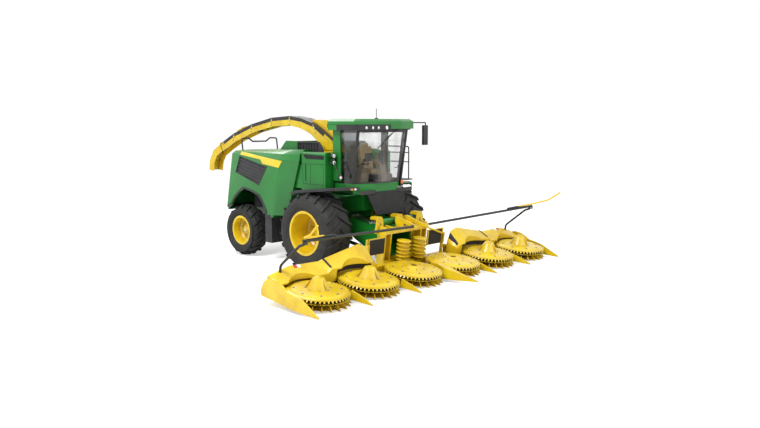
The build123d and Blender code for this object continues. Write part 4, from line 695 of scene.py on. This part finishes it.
seat_pad = pillow("seat_cushion", (640, 0, 2505), (490, 500, 150), lean=-4, grooves=(-0.3, 0.3))
seat_back = pillow("seat_back_cushion", (392, 0, 2850), (620, 490, 140), lean=-96,
                   grooves=(-0.35, 0.1, 0.5))
head_pad = pillow("seat_head_cushion", (350, 0, 3165), (150, 280, 100), lean=-97, grooves=())
arm_pads = [pillow("seat_arm_" + side_name, (590, side * 310, 2702), (380, 84, 78), lean=0, grooves=())
            for side_name, side in SIDES]
seat_frame = Form()
seat_frame.slab([(400, 2400), (860, 2400), (880, 2450), (400, 2450)], "y", -225, 225)
seat_frame.slab([(325, 2480), (355, 2480), (330, 3090), (300, 3090)], "y", -200, 200)
seat_frame.block((395, 445), (-352, 352), (2520, 2560))
for side in (-1, 1):
    seat_frame.slab([(400, 2540), (450, 2540), (470, 2670), (420, 2670)], "y", side * 350, side * 276)
add_piece("seat_frame", seat_frame, "chassis", powder_coat, round_mm=8)
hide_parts("seat")
handles = Form()
handle_path = [(905, -905, 2480), (930, -955, 2500), (1005, -955, 3060), (1000, -905, 3080)]
handles.tube(rounded_path(handle_path, bend=30), radius=13)
add_piece("grab_handle_right", handles, "chassis", powder_coat)
door_pull = Form()
pull_path = [(600, 903, 2560), (600, 945, 2560), (720, 945, 2585), (720, 903, 2585)]
door_pull.tube(rounded_path(pull_path, bend=14), radius=10)
door_pull.turned((735, 903, 2620), (0, 1, 0), [(26, 0), (26, 12), (14, 16)], sides=16)
add_piece("door_handle", door_pull, "cab_door", powder_coat)

# Wheels: nuts round each disc and a cover over each hub

COVER_BOLTS = 8
COVER_BOLT_RING = 0.72  # share of the cover's radius


def wheel_fittings(name, body, x, z, side, nut_y, nut_radius, nuts, cap_y, cap_radius, cap_long):
    nut_ring = Form()
    for i in range(nuts):
        turn = math.tau * (i + 0.5) / nuts
        spot = (x + nut_radius * math.cos(turn), side * nut_y, z + nut_radius * math.sin(turn))
        nut_ring.hexagon(spot, (0, side, 0), across_flats=34, height=30)
        nut_ring.turned(spot, (0, side, 0), [(10, 20), (10, 46), (7, 50)], sides=10)
    for i in range(COVER_BOLTS):
        turn = math.tau * i / COVER_BOLTS
        bolt_x = x + cap_radius * COVER_BOLT_RING * math.cos(turn)
        bolt_z = z + cap_radius * COVER_BOLT_RING * math.sin(turn)
        nut_ring.hexagon((bolt_x, side * (cap_y + cap_long - 2), bolt_z), (0, side, 0),
                         across_flats=20, height=14)
    add_piece(name + "_nuts", nut_ring, body, zinc_steel)
    shell = [  # cover from its open foot over the rim and the face to the grease cap and back inside
        (cap_radius * 0.62, 0), (cap_radius * 1.12, 0), (cap_radius * 1.12, 14), (cap_radius, 20),
        (cap_radius * 0.96, cap_long - 8), (cap_radius * 0.9, cap_long), (cap_radius * 0.4, cap_long),
        (cap_radius * 0.34, cap_long + 10), (1, cap_long + 12), (1, cap_long - 12),
        (cap_radius * 0.62, cap_long - 14),
    ]
    cover = Form().turned((x, side * cap_y, z), (0, side, 0), shell, sides=40)
    add_piece(name + "_hub_cover", cover, body, clean_yellow)


for side_name, side in SIDES:
    wheel_fittings("front_wheel_" + side_name, "wheel_front_" + side_name, 0, FRONT_AXLE_Z * 1000, side,
                   nut_y=1192, nut_radius=330, nuts=14, cap_y=1262, cap_radius=150, cap_long=62)
    wheel_fittings("rear_wheel_" + side_name, "wheel_rear_" + side_name,
                   -WHEELBASE * 1000, REAR_AXLE_Z * 1000, side,
                   nut_y=1128, nut_radius=228, nuts=10, cap_y=1196, cap_radius=96, cap_long=48)

# Spout: ribs and bolts at its joints, and a lamp beneath it

spout_tree = tree_of("spout_duct")
rib_table = [  # top x, top z, bottom x, bottom z
    (-1400, 3700, -1290, 3470), (-2430, 3915, -2430, 3695), (-3250, 3868, -3290, 3660),
    (-4230, 3675, -4290, 3475), (-5160, 3390, -5240, 3200),
]
RIB_HALF = 22
for side_name, side in SIDES:
    ribs = Form()
    bolts = Form()
    for x0, z0, x1, z1 in rib_table:
        edges = [[(x0 + shift, 0, z0), (x1 + shift, 0, z1)] for shift in (-RIB_HALF, RIB_HALF)]
        laid_on(ribs, spout_tree, *edges, (0, -side, 0), proud=9, steps=6, rows=1)
        for t in (0.12, 0.5, 0.88):
            spot = at(x0 + (x1 - x0) * t, 0, z0 + (z1 - z0) * t)
            hit = spout_tree.ray_cast(spot + Vector((0, side * 3, 0)), Vector((0, -side, 0)))[0]
            if hit:
                seat = ((hit.x - AXLE_X) * 1000, hit.y * 1000 + side * 8, hit.z * 1000)
                bolts.hexagon(seat, (0, side, 0), across_flats=24, height=14)
    add_piece("spout_joint_ribs_" + side_name, ribs, "spout", clean_yellow)
    add_piece("spout_joint_bolts_" + side_name, bolts, "spout", zinc_steel)
liner_line = [(-700, 3345), (-1000, 3510), (-1400, 3720), (-1910, 3865), (-2430, 3930),
              (-3250, 3885), (-4230, 3695), (-5160, 3410), (-5860, 3105)]
LINER_TOP = 6  # from the line down to the band's upper and lower edge
LINER_FOOT = 82
STEEP_X = -1200  # ahead of this the duct rises steeply, and the band's lower edge is set back
STEEP_SHIFT = 45
upper_edge = [(x, 0, z - LINER_TOP) for x, z in liner_line]
lower_edge = [(x - (STEEP_SHIFT if x > STEEP_X else 0), 0, z - LINER_FOOT) for x, z in liner_line]
for side_name, side in SIDES:
    band = laid_on(Form(), spout_tree, upper_edge, lower_edge, (0, -side, 0), proud=5, steps=64, rows=1)
    add_piece("spout_liner_edge_" + side_name, band, "spout", grained_plastic)
lamp = Form()
lamp.slab([(-3960, 3470), (-3840, 3480), (-3830, 3550), (-3950, 3560)], "y", -150, -50)
lamp.tube([(-3900, -100, 3540), (-3895, -100, 3600)], radius=14)
add_piece("spout_lamp", lamp, "spout", grained_plastic, round_mm=8)

# Header: knives, bolts and covers on the rotors

rotor_table = [("rotor_1", -2.5, True), ("rotor_2", -1.5, True), ("rotor_3", -0.5, False),
               ("rotor_4", 0.5, False), ("rotor_5", 1.5, True), ("rotor_6", 2.5, True)]
ROTOR_PITCH = 1500
KNIVES = 32
KNIFE_ROOT = 590
KNIFE_TIP = 650
KNIFE_RING_INNER = 520
KNIFE_LOW_Z = -70
KNIFE_HIGH_Z = -62
TEETH = 48
DISC_RADIUS = 646
TOOTH_TIP = 688
TOOTH_DROP = 46
TOOTH_TOP_Z = 8
TOOTH_THICK = 9
ROTOR_BOLTS = 8
RIBS = 3
RIB_OUT = 26


def polar(radius, share):
    """Point on a circle at a share of a full turn."""
    turn = math.tau * share
    return radius * math.cos(turn), radius * math.sin(turn)


for rotor_name, step, has_cone in rotor_table:
    middle = IN_HEADER @ Matrix.Translation((0, step * ROTOR_PITCH / 1000, 0))
    knives = Form(middle)
    outline = []
    for i in range(KNIVES):
        for radius, shift in ((KNIFE_ROOT, 0.0), (KNIFE_ROOT, 0.35),
                              (KNIFE_TIP, 0.62), (KNIFE_TIP, 0.78)):
            outline.append(polar(radius, (i + shift) / KNIVES))
    inner = [polar(KNIFE_RING_INNER, i / len(outline)) for i in range(len(outline))]
    levels = ((inner, KNIFE_LOW_Z), (outline, KNIFE_LOW_Z), (outline, KNIFE_HIGH_Z), (inner, KNIFE_HIGH_Z))
    knives.rings([[(x, y, z) for x, y in line] for line, z in levels], looped=True)
    add_piece(rotor_name + "_knives", knives, rotor_name, knife_steel)
    teeth = Form(middle)
    for i in range(TEETH):
        corners = [(DISC_RADIUS, i - 0.42), (DISC_RADIUS, i + 0.42),
                   (TOOTH_TIP, i + 0.1), (TOOTH_TIP, i - 0.1)]
        ring = [polar(radius, k / TEETH) for radius, k in corners]
        drops = (TOOTH_TOP_Z, TOOTH_TOP_Z, -TOOTH_DROP, -TOOTH_DROP)
        teeth.rings([[(x, y, z - down) for (x, y), z in zip(ring, drops)] for down in (0, TOOTH_THICK)])
    add_piece(rotor_name + "_teeth", teeth, rotor_name, yellow_enamel)
    fittings = Form(middle)
    for i in range(ROTOR_BOLTS):
        for ring_radius, z, flats, tall in ((500, 46, 30, 16), (270, 56, 24, 14)):
            fittings.hexagon((*polar(ring_radius, (i + 0.25) / ROTOR_BOLTS), z), (0, 0, 1),
                             across_flats=flats, height=tall)
    add_piece(rotor_name + "_bolts", fittings, rotor_name, zinc_steel)
    cap = Form(middle)
    if has_cone:
        cap.turned((0, 0, 286), (0, 0, 1), [(70, 0), (70, 8), (40, 16), (1, 18)], sides=32)
        for i in range(RIBS):
            turn = math.tau * i / RIBS
            start = Vector((*polar(115, i / RIBS), 262))
            end = Vector((*polar(262, i / RIBS), 66))
            across = Vector((-math.sin(turn), math.cos(turn), 0)) * 5
            out = Vector((math.cos(turn), math.sin(turn), 0.6)) * RIB_OUT
            cap.rings([[p - across, p + across, p + across + out * grow, p - across + out * grow]
                       for p, grow in ((start, 0.15), (start.lerp(end, 0.5), 1.0), (end, 0.5))])
        add_piece(rotor_name + "_cone_ribs", cap, rotor_name, yellow_enamel)
    else:
        cap.turned((0, 0, 66), (0, 0, 1), [(72, -2), (72, 6), (50, 10), (22, 10), (22, 24), (1, 26)],
                   sides=28)
        add_piece(rotor_name + "_hub_cap", cap, rotor_name, powder_coat)

SLOT_RADIUS = 698
SLOT_LINER = 5
SLOT_FOOT_Z = 30
SLOT_FROM = 131  # degrees, from the rotor's front
SLOT_SWEEP = 98
SLOT_STEPS = 24
SEAL_X = (1925, 2240)
SEAL_WIDE = 48
SEAL_SKEW = 10
DIVIDER_END_Y = 4500 - 20 - 18
for side_name, side in SIDES:
    body = "wing_" + side_name
    # A thin dark belting wall stands in each slot behind the outer rotors as painted shade for the slot's
    # opening.
    dark = Form(IN_HEADER)
    for d, roof in ((1.5, 150), (2.5, 52)):
        rings = []
        for i in range(SLOT_STEPS + 1):
            turn = math.radians(SLOT_FROM + SLOT_SWEEP * i / SLOT_STEPS)
            section = []
            for radius, z in ((SLOT_RADIUS, SLOT_FOOT_Z), (SLOT_RADIUS + SLOT_LINER, SLOT_FOOT_Z),
                              (SLOT_RADIUS + SLOT_LINER, roof), (SLOT_RADIUS, roof)):
                y = side * d * ROTOR_PITCH + radius * math.sin(turn)
                section.append((radius * math.cos(turn), y, z))
            rings.append(section)
        dark.rings(rings)
    add_piece("slot_shade_liners_" + side_name, dark, body, belting)
    wing_tree = tree_of("wing_frame_" + side_name)
    seals = Form()
    for y in (1545, 2890):
        near, far = ([(SEAL_X[0], side * edge, 0), (SEAL_X[1], side * (edge + SEAL_SKEW), 0)]
                     for edge in (y, y + SEAL_WIDE))
        laid_on(seals, wing_tree, near, far, (0, 0, -1), proud=12, steps=10, rows=2)
    add_piece("cover_seals_" + side_name, seals, body, belting)
    for mark_name, material, y in (("white", clear_lens, 3590), ("red", red_lens, 3690)):
        near, far = ([(1960, side * edge, 0), (2030, side * edge, 0)] for edge in (y, y + 90))
        mark = laid_on(Form(), wing_tree, near, far, (0, 0, -1), proud=5, steps=4, rows=2)
        add_piece("reflector_" + mark_name + "_" + side_name, mark, body, material)
    shoes = Form(IN_HEADER)
    for y, x0 in ((DIVIDER_END_Y, 700), (3000, 720)):
        ends = ((x0, 16, 9, -226, -190), (x0 + 150, 8, 5, -216, -188))
        shoes.rings([[(x, side * y - low, z0), (x, side * y + low, z0),
                      (x, side * y + high, z1), (x, side * y - high, z1)]
                     for x, low, high, z0, z1 in ends])
    add_piece("divider_shoes_" + side_name, shoes, body, knife_steel)

# Rubber flaps beside the throat, in bolted frames, and the feeder house's pipes

FLAP_Y = (812, 1376)
FLAP_Z = (162, 548)
FLAP_BOLTS = 6
FLAP_BOLT_PITCH = 90
for side_name, side in SIDES:
    flap = Form(IN_HEADER)
    (y0, y1), (z0, z1) = FLAP_Y, FLAP_Z
    flap.slab([(side * y0, z0), (side * y1, z0), (side * y1, z1), (side * y0, z1)], "x", -929, -922)
    add_piece("throat_flap_" + side_name, flap, "header", belting)
    rail = Form(IN_HEADER)
    for y0, y1, z0, z1 in ((800, 1388, 540, 564), (800, 826, 150, 560), (1362, 1388, 150, 560)):
        rail.slab([(side * y0, z0), (side * y1, z0), (side * y1, z1), (side * y0, z1)], "x", -931, -914)
    add_piece("throat_flap_rails_" + side_name, rail, "header", yellow_enamel,
              round_mm=3)
    studs = Form(IN_HEADER)
    for i in range(FLAP_BOLTS):
        studs.hexagon((-914, side * (870 + i * FLAP_BOLT_PITCH), 552), (1, 0, 0),
                      across_flats=16, height=10)
    add_piece("throat_flap_bolts_" + side_name, studs, "header", zinc_steel)
PIPES = 4
PIPE_PITCH = 55
pipes = Form()
for k in range(PIPES):
    y = -360 + k * PIPE_PITCH
    pipe_path = [(330, y, 1338), (460, y, 1352), (900, y, 1239), (960, y, 1180)]
    pipes.tube(rounded_path(pipe_path, bend=40), radius=11)
    pipes.turned((330, y, 1338), (1, 0, 0.1), [(17, -22), (17, 20)], sides=6)
pipes.block((255, 325), (-400, -160), (1318, 1372))
add_piece("feeder_pipes", pipes, "header", zinc_steel)

# Floor, light and camera

FLOOR_HALF = 90
FLOOR_GREY = 0.86
FLOOR_GLOW = 0.5
SKY_LIGHT = 0.62
floor_mesh = bpy.data.meshes.new("floor")
floor_corners = [(x * FLOOR_HALF, y * FLOOR_HALF, 0) for x, y in ((-1, -1), (1, -1), (1, 1), (-1, 1))]
floor_mesh.from_pydata(floor_corners, [], [(0, 1, 2, 3)])
floor = bpy.data.objects.new("floor", floor_mesh)
bpy.context.scene.collection.objects.link(floor)
white_floor, floor_tree, floor_shader, _ = surface("white_floor", Roughness=0.9, Specular_IOR_Level=0.0)
floor_shader.inputs["Base Color"].default_value = (FLOOR_GREY, FLOOR_GREY, FLOOR_GREY, 1)
floor_rays = add_node(floor_tree, "ShaderNodeLightPath")
floor_glow = add_node(floor_tree, "ShaderNodeMath", {1: FLOOR_GLOW}, {0: (floor_rays, "Is Camera Ray")},
                      operation="MULTIPLY")
floor_tree.links.new(floor_glow.outputs[0], floor_shader.inputs["Emission Strength"])
floor_shader.inputs["Emission Color"].default_value = (1, 1, 1, 1)
floor_mesh.materials.append(white_floor)

world = bpy.data.worlds.new("studio")
bpy.context.scene.world = world
world.use_nodes = True
sky = world.node_tree
rays = add_node(sky, "ShaderNodeLightPath")
seen = add_node(sky, "ShaderNodeMath", {}, {0: (rays, "Is Camera Ray"), 1: (rays, "Is Glossy Ray")},
                operation="MAXIMUM")
seen = add_node(sky, "ShaderNodeMath", {}, {0: (seen, 0), 1: (rays, "Is Transmission Ray")},
                operation="MAXIMUM")
level = add_node(sky, "ShaderNodeMapRange", {"To Min": SKY_LIGHT, "To Max": 1.0}, {"Value": (seen, 0)})
backdrop = sky.nodes["Background"]
backdrop.inputs["Color"].default_value = (1, 1, 1, 1)
sky.links.new(level.outputs["Result"], backdrop.inputs["Strength"])

lamp_table = [  # name, place, aimed at, watts, size across
    ("key_lamp", (3, -12, 16), (0, 0, 1.5), 2900, 7),
    ("fill_lamp", (15, 3, 9), (0, 0, 1.5), 700, 9),
    ("back_lamp", (-12, 8, 12), (0, 0, 1.5), 700, 9),
]
for name, place, aim, watts, across in lamp_table:
    light = bpy.data.lights.new(name, "AREA")
    light.energy = watts
    light.size = across
    holder = bpy.data.objects.new(name, light)
    holder.location = place
    holder.rotation_euler = (Vector(aim) - Vector(place)).to_track_quat("-Z", "Y").to_euler()
    bpy.context.scene.collection.objects.link(holder)

# Camera solved from the photograph, in metres, degrees and millimetres.
CAMERA_AT = (14.936, -13.380, 3.768)
LOOK_YAW = 133.585
LOOK_PITCH = -7.243
FOCAL_LENGTH = 34.19
SENSOR_WIDTH = 36.0
FARTHEST = 400.0
camera_data = bpy.data.cameras.new("camera")
camera_data.lens = FOCAL_LENGTH
camera_data.sensor_width = SENSOR_WIDTH
camera_data.clip_end = FARTHEST
camera = bpy.data.objects.new("camera", camera_data)
camera.location = CAMERA_AT
camera.rotation_euler = (math.radians(90 + LOOK_PITCH), 0, math.radians(LOOK_YAW - 90))
bpy.context.scene.collection.objects.link(camera)
bpy.context.scene.camera = camera
bpy.context.scene.view_settings.view_transform = "Standard"
